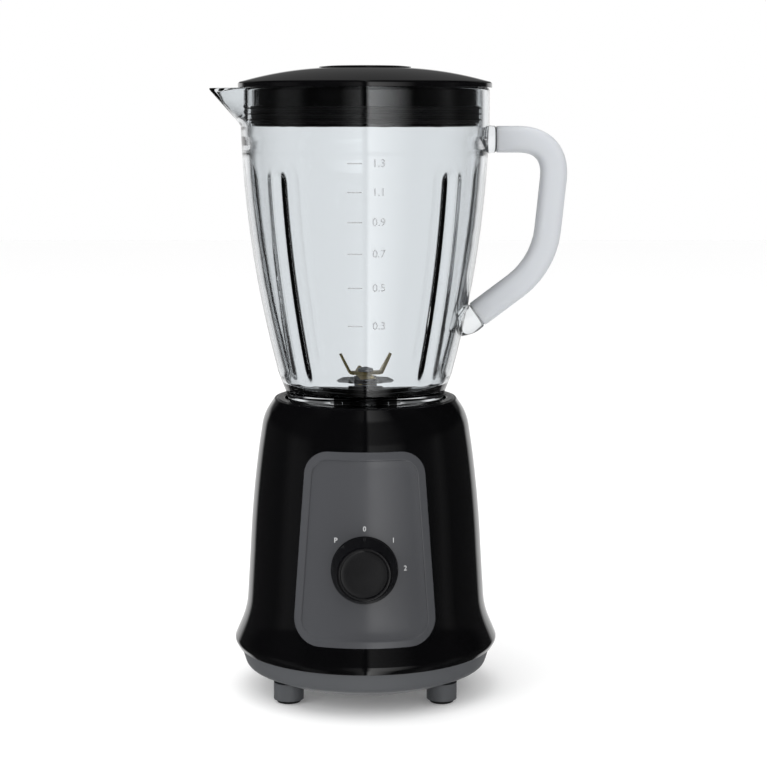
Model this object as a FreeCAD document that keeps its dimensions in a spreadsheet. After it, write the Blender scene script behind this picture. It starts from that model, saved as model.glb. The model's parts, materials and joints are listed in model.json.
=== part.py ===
import FreeCAD, Part
import math
import os
import re
import Sketcher

# Countertop blender, in millimetres.  The frame stands on its four feet at z = 0, with the
# motor axis as the Z axis, the control panel towards -Y and the jug's handle towards +X.

Vector = FreeCAD.Vector
Rotation = FreeCAD.Rotation
Placement = FreeCAD.Placement
Constraint = Sketcher.Constraint

# ---------------------------------------------------------------- driving dimensions

SIZES = {
    # clearances shared by all the fits
    "slip_gap": 0.35,          # round parts that lift off or drop in
    "running_gap": 0.04,       # shafts in their bearings, per side
    "screw_gap": 0.2,          # a screw's shank in its hole, per side
    # feet
    "foot_x": 43.5,
    "foot_y": 36.0,
    "foot_r": 8.6,
    "foot_bottom": 2.0,
    "pad_r": 6.8,
    "pad_depth": 2.5,          # how far a rubber pad goes up into its foot
    # base pan
    "pan_floor": 8.0,
    "pan_wall": 2.2,
    "pan_flat_r": 53.0,
    "pan_knee_r": 69.5,
    "pan_knee_z": 15.0,
    "pan_rim_r": 72.9,
    "spigot_rise": 5.0,
    "pan_rebate": 1.6,         # step from the rim in to the spigot
    "pan_bowl_round": 20.0,
    "pan_knee_round": 5.0,
    "vent_r": 28.0,
    "vent_length": 16.0,
    "vent_width": 4.0,
    "vent_count": 10.0,
    # upper housing, outer outline from the bottom edge to the top
    "housing_bottom": 26.0,
    "housing_edge_r": 74.4,
    "housing_widest_r": 76.4,
    "housing_widest_z": 29.8,
    "housing_waist_r": 69.1,
    "housing_waist_z": 47.0,
    "housing_lower_r": 66.8,
    "housing_lower_z": 84.0,
    "housing_upper_r": 61.2,
    "housing_upper_z": 143.7,
    "housing_bow": 670.0,      # long radius between the two
    "housing_shoulder_r": 58.5,
    "housing_shoulder_z": 161.0,
    "housing_top": 168.8,
    "housing_wall": 2.8,
    "shoulder_round": 28.0,
    "shoulder_shrink": 4.0,    # how much faster the rounding shrinks than its outline
    "waist_round": 45.0,
    "foot_round": 3.5,
    "deck_bottom": 147.0,
    "deck_thick": 3.0,
    "deck_bore_r": 30.0,
    # screws between pan and housing
    "pan_screw_x": 60.0,
    "pan_screw_y": 21.0,
    "pan_screw_r": 1.5,
    "pan_screw_head_r": 3.0,
    "pan_screw_head": 2.4,
    "pan_screw_seat": 21.0,
    "pan_screw_top": 44.0,
    "head_gap": 0.4,           # round a screw head in its counterbore
    "boss_r": 5.0,
    "boss_top": 62.0,
    # seat for the jug
    "seat_floor": 154.0,
    "seat_rim_r": 51.0,
    "seat_rim": 1.7,
    "seat_rim_step": 2.0,      # how far the rim stands out over the cup
    "seat_gap": 1.6,           # round the jug's foot
    "seat_hole_r": 24.0,
    "lug_width": 8.0,
    "lug_height": 4.0,
    "lug_gap": 0.6,
    "lug_count": 4.0,
    # jug
    "jug_foot_r": 44.8,
    "jug_foot_bend": 171.5,
    "jug_foot_round": 10.0,
    "jug_floor_round": 7.0,
    "jug_rim_round": 1.5,
    "under_floor_round": 4.0,
    "jug_hip_r": 49.8,
    "jug_hip_z": 184.5,
    "jug_rim_r": 70.3,
    "jug_band_z": 325.0,
    "jug_rim_z": 346.2,
    "jug_wall": 4.5,
    "jug_floor": 175.5,
    "jug_floor_thick": 6.0,
    "jug_curve": 620.0,        # long radius of the side between hip and band
    "band_bore_r": 66.0,
    "band_ledge": 317.0,
    "foot_wall": 5.8,
    "rib_depth": 3.0,
    "rib_angle": 10.0,
    "rib_bottom": 184.0,
    "rib_top": 303.0,
    "spout_reach": 88.9,
    "spout_root": 8.3,         # how far inside the rim the spout's outline starts
    "spout_drop": 20.8,
    "spout_half": 24.3,
    "spout_tip_drop": 2.7,
    "spout_tip_half": 3.0,
    # handle of the jug
    "handle_top": 317.5,
    "handle_reach": 109.1,
    "handle_turn_x": 101.9,
    "handle_turn_z": 246.4,
    "handle_foot_x": 64.0,
    "handle_foot_z": 217.8,
    "handle_start": 74.0,
    "handle_thick": 15.0,
    "stub_root": 3.0,
    "stub_length": 14.0,
    "handle_width": 17.0,
    "handle_top_bend": 20.0,
    "handle_low_bend": 45.0,
    # blade unit in the floor of the jug
    "hub_flange_r": 27.0,
    "hub_flange": 2.6,
    "hub_neck_r": 13.0,
    "hub_bore_r": 6.0,
    "hub_boss_r": 10.0,
    "hub_boss": 2.4,
    "hub_nut_r": 21.0,
    "hub_nut": 5.0,
    "gasket": 1.0,
    "bush_length": 6.0,
    "blade_shaft_r": 3.0,
    "blade_gauge": 1.5,
    "blade_reach": 16.0,
    "blade_rise": 10.5,
    "low_blade_reach": 23.0,
    "low_blade_rise": 2.0,
    "blade_width": 9.0,
    "blade_nut_r": 5.0,
    "blade_nut": 5.0,
    "washer_rim": 3.5,
    "washer_lift": 0.3,
    "washer_thick": 0.8,
    "seal_thick": 3.0,
    "bush_below_seal": 0.2,
    # dog couplings
    "coupling_r": 17.0,
    "coupling_disc": 3.6,
    "dog_height": 5.0,
    "dog_inner_r": 8.5,
    "dog_inset": 1.5,
    "dog_angle": 36.0,
    # motor
    "motor_shaft_r": 4.0,
    "shaft_bottom": 30.0,
    "stator_half": 32.5,
    "stator_bottom": 74.0,
    "stator_top": 108.0,
    "stator_bore_r": 20.3,
    "pole_root_r": 30.0,
    "pole_angle": 72.0,
    "coil_gap": 0.6,           # between a coil and the pole it goes round
    "coil_spread": 56.0,       # angle a coil takes on top of its pole's
    "coil_slack": 3.0,
    "air_gap": 0.6,
    "coil_overhang": 7.0,
    "motor_screw_x": 26.5,
    "motor_screw_r": 2.0,
    "head_rim": 1.6,
    "head_thick": 2.5,
    "bracket_r": 49.0,
    "bracket_thick": 3.5,
    "bracket_lip": 1.0,        # holds a bearing's outer ring, clear of the shaft
    "bracket_cup": 3.0,
    "screw_wall": 2.0,
    "window_inset": 19.0,
    "upper_window_r": 8.0,
    "lower_window_r": 7.0,
    "upper_bracket_z": 131.5,
    "lower_bracket_r": 41.0,
    "lower_bracket_z": 48.5,
    "bearing_r": 8.0,
    "bearing_length": 7.0,
    "commutator_r": 10.5,
    "commutator_bottom": 54.0,
    "commutator_top": 65.0,
    "fan_r": 31.0,
    "fan_top": 41.0,
    "fan_depth": 7.0,
    "fan_hub": 3.0,
    "fan_disc": 1.6,
    "core_inset": 1.0,
    "winding_foot": 1.5,
    "winding_inset": 1.2,
    "riser_rim": 1.5,
    "riser_thick": 2.0,
    "fan_blades": 9.0,
    "mount_ring": 43.0,
    "mount_r": 6.0,
    "brush_side": 6.0,
    "brush_length": 12.0,
    "holder_wall": 1.2,
    "holder_gap": 2.0,         # from the commutator to the holder
    "spring_inset": 0.8,       # coil line inside the brush's half side
    "holder_end": 34.0,
    # control panel and knob
    "panel_top": 148.0,
    "panel_bottom": 40.5,
    "panel_top_half": 32.6,
    "panel_bottom_half": 40.4,
    "panel_proud": 1.5,
    "panel_low_round": 14.0,
    "panel_top_round": 13.0,
    "knob_z": 84.0,
    "knob_r": 18.3,
    "knob_top_r": 14.6,
    "knob_height": 15.5,
    "knob_gap": 0.4,
    "knob_skirt": 3.0,         # straight part of the side at the base
    "knob_wall": 5.0,
    "knob_hollow": 5.5,        # how deep the knob is open underneath
    "knob_cap": 3.0,           # plastic above the shaft's end
    "shaft_end_gap": 0.2,
    "seat_boss": 0.4,          # flat round face on the panel, under the knob
    "bushing_r": 5.0,
    "bushing_rise": 3.4,
    "switch_nut_rim": 3.5,
    "switch_nut": 2.6,
    "switch_side": 28.0,
    "switch_depth": 16.0,
    "switch_behind": 7.5,      # gap from the panel's face to the switch body
    "switch_shaft_r": 3.0,
    # cord gland at the back
    "gland_z": 50.0,
    "gland_bore_r": 3.5,
    "gland_neck_r": 5.6,
    "gland_lip_r": 7.5,
    "gland_lip": 2.4,
    "gland_stand": 2.2,        # lip's seat outside the waist
    "gland_inset": 1.6,        # nut's seat inside the wall
    "gland_nut_rim": 3.0,
    "gland_nut": 4.0,
    # suppression capacitor on the pan's floor
    "capacitor_half": 11.0,
    "capacitor_near": 39.0,
    "capacitor_far": 48.0,
    "capacitor_height": 14.0,
    # lid and measuring cap
    "lid_r": 71.7,
    "lid_edge": 3.4,
    "lid_crown": 357.5,
    "lid_wall": 2.6,
    "skirt_r": 64.0,
    "skirt_bottom": 325.0,
    "cap_r": 24.0,
    "cap_flange_r": 26.0,
    "cap_flange": 0.6,
    "cap_crown": 358.5,
    "cap_wall": 2.2,
    "cap_bottom": 334.0,
    "fin_reach": 1.65,
    "fin_thick": 0.8,
    "fin_pitch": 3.2,
    "fin_bottom": 328.0,
    "fin_count": 3.0,
    "fin_band": 0.5,
    "fin_edge": 1.5,
    "cap_round": 20.0,
    "cap_slope": 4.0,          # width of the cap's rounded border
    "dome_bow": 200.0,         # long radius of the lid's dome
    "lid_round": 0.8,          # slope at the lid's edge
    "cap_hollow": 0.6,         # extra thickness under the cap's crown
    # allowances shared by many pieces
    "overshoot": 1.0,          # how far a cut runs past the face it opens
    "weld": 0.5,               # how far one solid is sunk into the next it joins
}

doc = FreeCAD.newDocument("countertop_blender")
sheet = doc.addObject("Spreadsheet::Sheet", "Sizes")
for row, (name, value) in enumerate(SIZES.items(), start=1):
    sheet.set(f"A{row}", name)
    sheet.set(f"B{row}", str(value))
    sheet.setAlias(f"B{row}", name)
doc.recompute()


# ---------------------------------------------------------------- helpers

def bound(text):
    """The expression with each size's name pointing at its cell in the sheet."""
    return re.sub(r"\b(?!deg\b)([a-z]\w*)\b(?!\()", r"Sizes.\1", text)


def size(text):
    """The present value of an expression in the sheet's sizes."""
    return float(sheet.evalExpression(text))


def bind(thing, prop, text):
    thing.setExpression(prop, bound(text))


def new_body(label):
    body = doc.addObject("PartDesign::Body", label)
    body.Label = label
    return body


def new_sketch(body, role, lift="0", lean=None, rise="0"):
    """A sketch on one of the body's own planes, lifted along the plane's normal.

    lean turns it about the plane's first axis, rise moves it along the second.
    """
    sketch = body.newObject("Sketcher::SketchObject", "outline")
    planes = [part for part in body.Origin.OriginFeatures if part.Role == role]
    sketch.AttachmentSupport = (planes[0], [""])
    sketch.MapMode = "FlatFace"
    turn = Rotation(Vector(1, 0, 0), size(lean) if lean else 0.0)
    sketch.AttachmentOffset = Placement(Vector(0, size(rise), size(lift)), turn)
    bind(sketch, "AttachmentOffset.Base.z", lift)
    bind(sketch, "AttachmentOffset.Base.y", rise)
    if lean:
        bind(sketch, "AttachmentOffset.Rotation.Angle", lean)
    return sketch


def hold_point(sketch, geometry, vertex, corner):
    """Ties a vertex to its two coordinates, each an expression in the sizes."""
    for kind, text, axis in (("DistanceX", corner[0], -2), ("DistanceY", corner[1], -1)):
        value = size(text)
        if abs(value) < 1e-9:
            sketch.addConstraint(Constraint("PointOnObject", geometry, vertex, axis))
        else:
            index = sketch.addConstraint(Constraint(kind, -1, 1, geometry, vertex, value))
            bind(sketch, f"Constraints[{index}]", text)


def round_corner(before, corner, after, radius):
    """Start, middle and end of the arc that rounds one corner."""
    back = (before - corner).normalize()
    ahead = (after - corner).normalize()
    half = math.acos(max(-1.0, min(1.0, back.dot(ahead)))) / 2
    inward = (back + ahead).normalize()
    run = radius / math.tan(half)
    middle = corner + inward * (radius / math.sin(half) - radius)
    return corner + back * run, middle, corner + ahead * run


def bow_between(start, end, side, radius):
    """Start, middle and end of a gentle arc that bulges left or right of its run."""
    run = end - start
    half = run.Length / 2
    bulge = radius - math.sqrt(radius * radius - half * half)
    left = Vector(-run.y, run.x, 0).normalize()
    middle = (start + end) / 2 + left * (bulge if side == "left" else -bulge)
    return start, middle, end


def arc_through(start, middle, end):
    """An arc that runs anticlockwise, whichever end it is given first."""
    turn = (middle - start).cross(end - middle)
    return Part.Arc(start, middle, end) if turn.z > 0 else Part.Arc(end, middle, start)


def is_bow(corner):
    return len(corner) == 4


def backwards(corners):
    """The same corners in the other order; each bow moves to its other end."""
    result = []
    for index in range(len(corners) - 1, -1, -1):
        place = corners[index][:2]
        before = corners[index - 1] if index else ()
        if is_bow(before):
            result.append(place + ("right" if before[2] == "left" else "left", before[3]))
        elif is_bow(corners[index]):
            result.append(place)
        else:
            result.append(corners[index])
    return result


def edge_ends(sketch, edge, start):
    """The two vertices of an edge, first the one at the start of its run."""
    at_start = (sketch.Geometry[edge].StartPoint - start).Length < 1e-6
    return (1, 2) if at_start else (2, 1)


def draw(sketch, corners, closed=True):
    """An outline through corners (x, y), in order.

    (x, y, radius) rounds that corner, and (x, y, "left" or "right", radius) bows the run
    from there to the next corner.
    """
    count = len(corners)
    points = [Vector(size(corner[0]), size(corner[1]), 0) for corner in corners]
    rounds = {}
    for index, corner in enumerate(corners):
        if len(corner) == 3:
            before, after = points[index - 1], points[(index + 1) % count]
            rounds[index] = round_corner(before, points[index], after, size(corner[2]))
    edges = []
    for index in range(count if closed else count - 1):
        following = (index + 1) % count
        start = rounds[index][2] if index in rounds else points[index]
        end = rounds[following][0] if following in rounds else points[following]
        corner = corners[index]
        if is_bow(corner):
            arc = arc_through(*bow_between(start, end, corner[2], size(corner[3])))
            edge = sketch.addGeometry(arc)
            held = sketch.addConstraint(Constraint("Radius", edge, size(corner[3])))
            bind(sketch, f"Constraints[{held}]", corner[3])
        else:
            edge = sketch.addGeometry(Part.LineSegment(start, end))
        edges.append((edge,) + edge_ends(sketch, edge, start))
    if not closed:
        hold_point(sketch, edges[0][0], edges[0][1], corners[0])
        hold_point(sketch, edges[-1][0], edges[-1][2], corners[-1])
    for index in range(0 if closed else 1, count if closed else count - 1):
        corner = corners[index]
        before, _, before_end = edges[index - 1]
        after, after_start, _ = edges[index]
        if index not in rounds:
            sketch.addConstraint(Constraint("Coincident", before, before_end, after, after_start))
            hold_point(sketch, after, after_start, corner)
            continue
        arc = sketch.addGeometry(arc_through(*rounds[index]))
        first, last = edge_ends(sketch, arc, rounds[index][0])
        sketch.addConstraint(Constraint("Tangent", before, before_end, arc, first))
        sketch.addConstraint(Constraint("Tangent", arc, last, after, after_start))
        held = sketch.addConstraint(Constraint("Radius", arc, size(corner[2])))
        bind(sketch, f"Constraints[{held}]", corner[2])
        tip = sketch.addGeometry(Part.Point(points[index]), True)
        sketch.addConstraint(Constraint("PointOnObject", tip, 1, before))
        sketch.addConstraint(Constraint("PointOnObject", tip, 1, after))
        hold_point(sketch, tip, 1, corner)


def draw_circle(sketch, centre_x, centre_y, radius):
    middle = Vector(size(centre_x), size(centre_y), 0)
    ring = sketch.addGeometry(Part.Circle(middle, Vector(0, 0, 1), size(radius)))
    hold_point(sketch, ring, 3, (centre_x, centre_y))
    held = sketch.addConstraint(Constraint("Radius", ring, size(radius)))
    bind(sketch, f"Constraints[{held}]", radius)


def draw_box(sketch, low_x, low_y, high_x, high_y, radius=None):
    rounding = (radius,) if radius else ()
    corners = [(low_x, low_y), (high_x, low_y), (high_x, high_y), (low_x, high_y)]
    draw(sketch, [corner + rounding for corner in corners])


def turn_profile(body, kind, corners, angle="360", about=0.0):
    """Revolution or Groove about the Z axis, over an angle centred on one direction."""
    sketch = new_sketch(body, "XZ_Plane")
    draw(sketch, corners)
    if about:
        sketch.AttachmentOffset = Placement(Vector(), Rotation(Vector(0, 1, 0), about))
    feature = body.newObject(f"PartDesign::{kind}", kind.lower())
    feature.Profile = sketch
    feature.ReferenceAxis = (sketch, ["V_Axis"])
    if angle != "360":
        feature.Midplane = True
    bind(feature, "Angle", angle)
    return feature


def turned(label, corners):
    """A body that is one closed outline (radius, height) turned about the Z axis."""
    body = new_body(label)
    turn_profile(body, "Revolution", corners)
    return body


def ring(label, inner, outer, low, high):
    return turned(label, [(inner, low), (outer, low), (outer, high), (inner, high)])


def extrude(body, kind, sketch, length, both=False):
    """Pad or Pocket along the sketch's normal; a Pocket also runs that way."""
    feature = body.newObject(f"PartDesign::{kind}", kind.lower())
    feature.Profile = sketch
    bind(feature, "Length", length)
    feature.Midplane = both
    if kind == "Pocket" and not both:
        feature.Reversed = True
    return feature


def columns(body, kind, places, radius, low, high):
    """Round pads or holes along Z between two heights, one at each place."""
    sketch = new_sketch(body, "XY_Plane", lift=low)
    for x, y in places:
        draw_circle(sketch, x, y, radius)
    return extrude(body, kind, sketch, f"({high}) - ({low})")


def on_axis():
    return [("0", "0")]


def at_corners(across, along):
    """Four places, mirrored about both axes."""
    return [(f"{across} * {x}", f"{along} * {y}") for x, y in ((1, 1), (-1, 1), (-1, -1), (1, -1))]


def at_sides(radius):
    """Four places, one on each half of the two axes."""
    return [(f"{radius} * {x}", f"{radius} * {y}") for x, y in ((1, 0), (0, 1), (-1, 0), (0, -1))]


def around(body, feature, count, spacing=None):
    """Copies of one feature about the Z axis; the body's tip becomes the pattern."""
    pattern = body.newObject("PartDesign::PolarPattern", "around")
    pattern.Originals = [feature]
    pattern.Axis = (body.Origin.OriginFeatures[2], [""])
    bind(pattern, "Occurrences", count)
    pattern.Angle = 360
    body.Tip = pattern
    return pattern


def group(label, members):
    """Separate solids of the same kind, kept as one node."""
    gathered = doc.addObject("Part::Compound", label)
    gathered.Label = label
    gathered.Links = members
    return gathered


def boolean(kind, label, base, tool):
    result = doc.addObject(f"Part::{kind}", label)
    result.Label = label
    result.Base = base
    result.Tool = tool
    return result


def cylinder(name, radius, height, x, y, low):
    solid = doc.addObject("Part::Cylinder", name)
    bind(solid, "Radius", radius)
    bind(solid, "Height", height)
    bind(solid, "Placement.Base.x", x)
    bind(solid, "Placement.Base.y", y)
    bind(solid, "Placement.Base.z", low)
    return solid




def screw_group(label, places, shank_r, head_r, head_low, seat, tip):
    """Screws driven upwards: head from head_low to its seat, shank from there to the tip."""
    screws = []
    for x, y in places:
        head = cylinder("head", head_r, f"({seat}) - ({head_low})", x, y, head_low)
        shank = cylinder("shank", shank_r, f"({tip}) - ({head_low})", x, y, head_low)
        screws.append(boolean("Fuse", "screw", head, shank))
    return group(label, screws)


nodes = []


def keep(*pieces):
    nodes.extend(pieces)


# ---------------------------------------------------------------- base pan and feet

def make_base_pan():
    """Shallow bowl with four hollow feet, a spigot into the housing and air slots."""
    pan = new_body("base_pan")
    inner_floor = "pan_floor + pan_wall"
    turn_profile(pan, "Revolution", [
        ("0", "pan_floor"),
        ("pan_flat_r", "pan_floor", "pan_bowl_round"),
        ("pan_knee_r", "pan_knee_z", "pan_knee_round"),
        ("pan_rim_r", "housing_bottom"),
        ("pan_rim_r - pan_rebate", "housing_bottom"),
        ("pan_rim_r - pan_rebate", "housing_bottom + spigot_rise"),
        ("pan_rim_r - pan_rebate - pan_wall", "housing_bottom + spigot_rise"),
        ("pan_rim_r - pan_rebate - pan_wall", "housing_bottom - 2"),
        ("pan_knee_r - pan_wall", "pan_knee_z + pan_wall / 2", "pan_knee_round - pan_wall"),
        ("pan_flat_r", inner_floor, "pan_bowl_round - pan_wall"),
        ("0", inner_floor),
    ])
    feet = at_corners("foot_x", "foot_y")
    columns(pan, "Pad", feet, "foot_r", "foot_bottom", inner_floor + " + 1.5")
    columns(pan, "Pocket", feet, "pad_r", "foot_bottom", "foot_bottom + pad_depth")
    screws = at_corners("pan_screw_x", "pan_screw_y")
    top = "housing_bottom + spigot_rise + weld"
    columns(pan, "Pad", screws, "boss_r", "pan_knee_z", top)
    columns(pan, "Pocket", screws, "pan_screw_r + screw_gap", "pan_floor", top)
    columns(pan, "Pocket", screws, "pan_screw_head_r + head_gap", "pan_floor", "pan_screw_seat")
    slot = new_sketch(pan, "XY_Plane", lift="pan_floor - overshoot")
    draw_box(slot, "vent_r - vent_length / 2", "-vent_width / 2", "vent_r + vent_length / 2",
             "vent_width / 2", "vent_width / 2 - 0.05")
    cut = extrude(pan, "Pocket", slot, "pan_wall + overshoot * 2")
    around(pan, cut, "vent_count")
    keep(pan)


def make_feet_and_screws():
    pads = [cylinder("pad", "pad_r", "foot_bottom + pad_depth", x, y, "0")
            for x, y in at_corners("foot_x", "foot_y")]
    keep(group("foot_pads", pads))
    keep(screw_group("pan_screws", at_corners("pan_screw_x", "pan_screw_y"), "pan_screw_r",
                     "pan_screw_head_r", "pan_screw_seat - pan_screw_head", "pan_screw_seat",
                     "pan_screw_top"))


# ---------------------------------------------------------------- housing

def housing_outline(grow):
    """The side of the housing from the shoulder down to the widest ring, moved outwards."""
    return [
        (f"seat_rim_r - 0.8 + ({grow})", "housing_top"),
        (f"housing_shoulder_r + ({grow})", "housing_shoulder_z",
         f"shoulder_round + shoulder_shrink * ({grow})"),
        (f"housing_upper_r + ({grow})", "housing_upper_z", "left", f"housing_bow + ({grow})"),
        (f"housing_lower_r + ({grow})", "housing_lower_z"),
        (f"housing_waist_r + ({grow})", "housing_waist_z", "waist_round"),
        (f"housing_widest_r + ({grow})", "housing_widest_z", "foot_round"),
    ]


PANEL_SLOPE = "(housing_waist_r - housing_lower_r) / (housing_lower_z - housing_waist_z)"
PANEL_FACE = "(housing_lower_r + (housing_lower_z - knob_z) * " + PANEL_SLOPE + " + panel_proud)"


def make_upper_housing():
    """Moulded shell, wide at the foot, with a deck inside that the motor hangs from."""
    shell = new_body("upper_housing")
    opening = "seat_rim_r - seat_rim_step + 0.2"
    turn_profile(shell, "Revolution", [(opening, "housing_top")]
                 + housing_outline("0")
                 + [("housing_edge_r", "housing_bottom"),
                    ("housing_edge_r - housing_wall", "housing_bottom")]
                 + backwards(housing_outline("-housing_wall")[1:])
                 + [(opening, "housing_top - housing_wall")])
    turn_profile(shell, "Revolution", [
        ("deck_bore_r", "deck_bottom"),
        ("housing_shoulder_r + head_gap", "deck_bottom"),
        ("housing_shoulder_r + head_gap", "deck_bottom + deck_thick"),
        ("deck_bore_r", "deck_bottom + deck_thick"),
    ])
    boss_low = "housing_bottom + spigot_rise + weld"
    screws = at_corners("pan_screw_x", "pan_screw_y")
    columns(shell, "Pad", screws, "boss_r", boss_low, "boss_top")
    columns(shell, "Pocket", screws, "pan_screw_r", boss_low, "pan_screw_top + overshoot")
    columns(shell, "Pocket", at_sides("mount_ring"), "motor_screw_r + screw_gap",
            "deck_bottom", "deck_bottom + deck_thick")
    gland = new_sketch(shell, "XZ_Plane", lift="-housing_widest_r")
    draw_circle(gland, "0", "gland_z", "gland_neck_r + slip_gap / 3")
    extrude(shell, "Pocket", gland, "housing_widest_r / 2")
    opening_front = new_sketch(shell, "XZ_Plane", lift=PANEL_FACE,
                               lean="-atan(" + PANEL_SLOPE + ")", rise="knob_z")
    draw_circle(opening_front, "0", "0", "bushing_r + screw_gap")
    extrude(shell, "Pocket", opening_front, "housing_wall * 8", both=True)
    keep(shell)


def make_jug_seat():
    """Cup in the top of the housing that the foot of the jug drops into."""
    wall_in = "jug_foot_r + seat_gap"
    wall_out = "seat_rim_r - seat_rim_step"
    bottom = "deck_bottom + deck_thick"
    seat = new_body("jug_seat")
    turn_profile(seat, "Revolution", [
        ("seat_hole_r", bottom),
        (wall_out, bottom),
        (wall_out, "housing_top"),
        ("seat_rim_r", "housing_top"),
        ("seat_rim_r", "housing_top + seat_rim", "0.8"),
        (wall_in, "housing_top + seat_rim", "0.8"),
        (wall_in, "seat_floor"),
        ("seat_hole_r", "seat_floor"),
    ])
    lug = new_sketch(seat, "XY_Plane", lift="seat_floor - weld")
    draw_box(lug, "jug_foot_r - foot_wall - weld", "-lug_width / 2",
             "jug_foot_r + seat_gap + weld",
             "lug_width / 2")
    raised = extrude(seat, "Pad", lug, "lug_height + weld")
    around(seat, raised, "lug_count")
    columns(seat, "Pocket", at_sides("mount_ring"), "motor_screw_r", bottom, "seat_floor - overshoot")
    keep(seat)


# ---------------------------------------------------------------- control panel and knob

def face_placement(piece):
    """Stands a piece on the panel: its own Z axis points out along the knob's axis."""
    piece.Placement = Placement(Vector(), Rotation(Vector(1, 0, 0), 90))
    bind(piece, "Placement.Base.y", "-" + PANEL_FACE)
    bind(piece, "Placement.Base.z", "knob_z")
    bind(piece, "Placement.Rotation.Angle", "90 deg - atan(" + PANEL_SLOPE + ")")


def solid_housing(label, grow):
    """The housing's outside as one solid, down to its widest ring."""
    return turned(label, [("0", "housing_top")] + housing_outline(grow)
                  + [("0", "housing_widest_z")])


def make_control_panel():
    """Raised plate wrapped round the front of the housing, with a flat seat for the knob."""
    outline = new_body("panel_outline")
    face = new_sketch(outline, "XZ_Plane")
    draw(face, [
        ("-panel_bottom_half", "panel_bottom", "panel_low_round"),
        ("panel_bottom_half", "panel_bottom", "panel_low_round"),
        ("panel_top_half", "panel_top", "panel_top_round"),
        ("-panel_top_half", "panel_top", "panel_top_round"),
    ])
    extrude(outline, "Pad", face, "housing_widest_r + 10")
    block = boolean("Common", "panel_block", solid_housing("panel_skin", "panel_proud"), outline)
    boss = turned("knob_boss", [("0", "-10"), ("knob_r + shaft_end_gap", "-10"),
                                ("knob_r + shaft_end_gap", "seat_boss"), ("0", "seat_boss")])
    face_placement(boss)
    raised = boolean("Fuse", "panel_with_boss", block, boss)
    plate = boolean("Cut", "panel_plate", raised, solid_housing("housing_core", "0"))
    hole = turned("panel_hole", [("0", "-20"), ("bushing_r + screw_gap", "-20"),
                                 ("bushing_r + screw_gap", "20"), ("0", "20")])
    face_placement(hole)
    keep(boolean("Cut", "control_panel", plate, hole))


def make_knob():
    """Tapered knob, hollow underneath to clear the nut, pressed on the switch's shaft."""
    base = "seat_boss + knob_gap"
    knob = turned("control_knob", [
        ("knob_r - knob_wall", base),
        ("knob_r", base),
        ("knob_r", base + " + knob_skirt", "1"),
        ("knob_top_r", base + " + knob_height", "1.6"),
        ("0", base + " + knob_height"),
        ("0", base + " + knob_height - knob_cap"),
        ("switch_shaft_r", base + " + knob_height - knob_cap"),
        ("switch_shaft_r", base + " + knob_hollow"),
        ("knob_r - knob_wall", base + " + knob_hollow"),
    ])
    shaft = turned("switch_shaft", [
        ("0", "-switch_depth - 4"),
        ("switch_shaft_r", "-switch_depth - 4"),
        ("switch_shaft_r", base + " + knob_height - knob_cap - shaft_end_gap"),
        ("0", base + " + knob_height - knob_cap - shaft_end_gap"),
    ])
    nut = ring("switch_nut", "bushing_r", "bushing_r + switch_nut_rim", "seat_boss",
               "seat_boss + switch_nut")
    switch = new_body("rotary_switch")
    back = "-(switch_depth + switch_behind)"
    square = new_sketch(switch, "XY_Plane", lift=back)
    draw_box(square, "-switch_side / 2", "-switch_side / 2", "switch_side / 2",
             "switch_side / 2", "2")
    extrude(switch, "Pad", square, "switch_depth")
    columns(switch, "Pad", on_axis(), "bushing_r", back, "seat_boss + bushing_rise")
    columns(switch, "Pocket", on_axis(), "switch_shaft_r + running_gap", "-switch_depth - 4.5",
            "seat_boss + 4")
    for piece in (knob, shaft, nut, switch):
        face_placement(piece)
        keep(piece)


# ---------------------------------------------------------------- motor

STATOR_SCREWS = at_corners("motor_screw_x", "motor_screw_x")


def make_brackets():
    """Two end brackets that carry the bearings and clamp the stator between them."""
    floor = "upper_bracket_z"
    top = floor + " + bracket_thick"
    upper = turned("upper_bracket", [
        ("motor_shaft_r + bracket_lip", top + " - bracket_lip"),
        ("bearing_r", top + " - bracket_lip"),
        ("bearing_r", top + " - bracket_lip - bearing_length"),
        ("bearing_r + bracket_cup", top + " - bracket_lip - bearing_length"),
        ("bearing_r + bracket_cup", floor),
        ("bracket_r", floor),
        ("bracket_r", top),
        ("motor_shaft_r + bracket_lip", top),
    ])
    columns(upper, "Pad", STATOR_SCREWS, "motor_screw_r + screw_wall", "stator_top", floor)
    columns(upper, "Pocket", STATOR_SCREWS, "motor_screw_r", "stator_top", top)
    columns(upper, "Pocket", at_sides("mount_ring"), "motor_screw_r + screw_gap", floor, top)
    columns(upper, "Pocket", at_sides("mount_ring - window_inset"), "upper_window_r", floor, top)
    floor = "lower_bracket_z"
    top = floor + " + bracket_thick"
    lower = turned("lower_bracket", [
        ("motor_shaft_r + bracket_lip", floor),
        ("lower_bracket_r", floor),
        ("lower_bracket_r", top),
        ("bearing_r", top),
        ("bearing_r", floor + " + bracket_lip"),
        ("motor_shaft_r + bracket_lip", floor + " + bracket_lip"),
    ])
    columns(lower, "Pad", STATOR_SCREWS, "motor_screw_r + screw_wall", top, "stator_bottom")
    columns(lower, "Pocket", STATOR_SCREWS, "motor_screw_r + screw_gap", floor, "stator_bottom")
    columns(lower, "Pocket", at_sides("mount_ring - window_inset"), "lower_window_r", floor, top)
    keep(upper, lower)
    bore = "motor_shaft_r + running_gap"
    keep(ring("upper_bearing", bore, "bearing_r",
              "upper_bracket_z + bracket_thick - bracket_lip - bearing_length",
              "upper_bracket_z + bracket_thick - bracket_lip"))
    keep(ring("lower_bearing", bore, "bearing_r", "lower_bracket_z + bracket_lip", top))
    keep(screw_group("motor_screws", STATOR_SCREWS, "motor_screw_r", "motor_screw_r + head_rim",
                     "lower_bracket_z - head_thick", "lower_bracket_z", "upper_bracket_z + screw_wall"))


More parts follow.
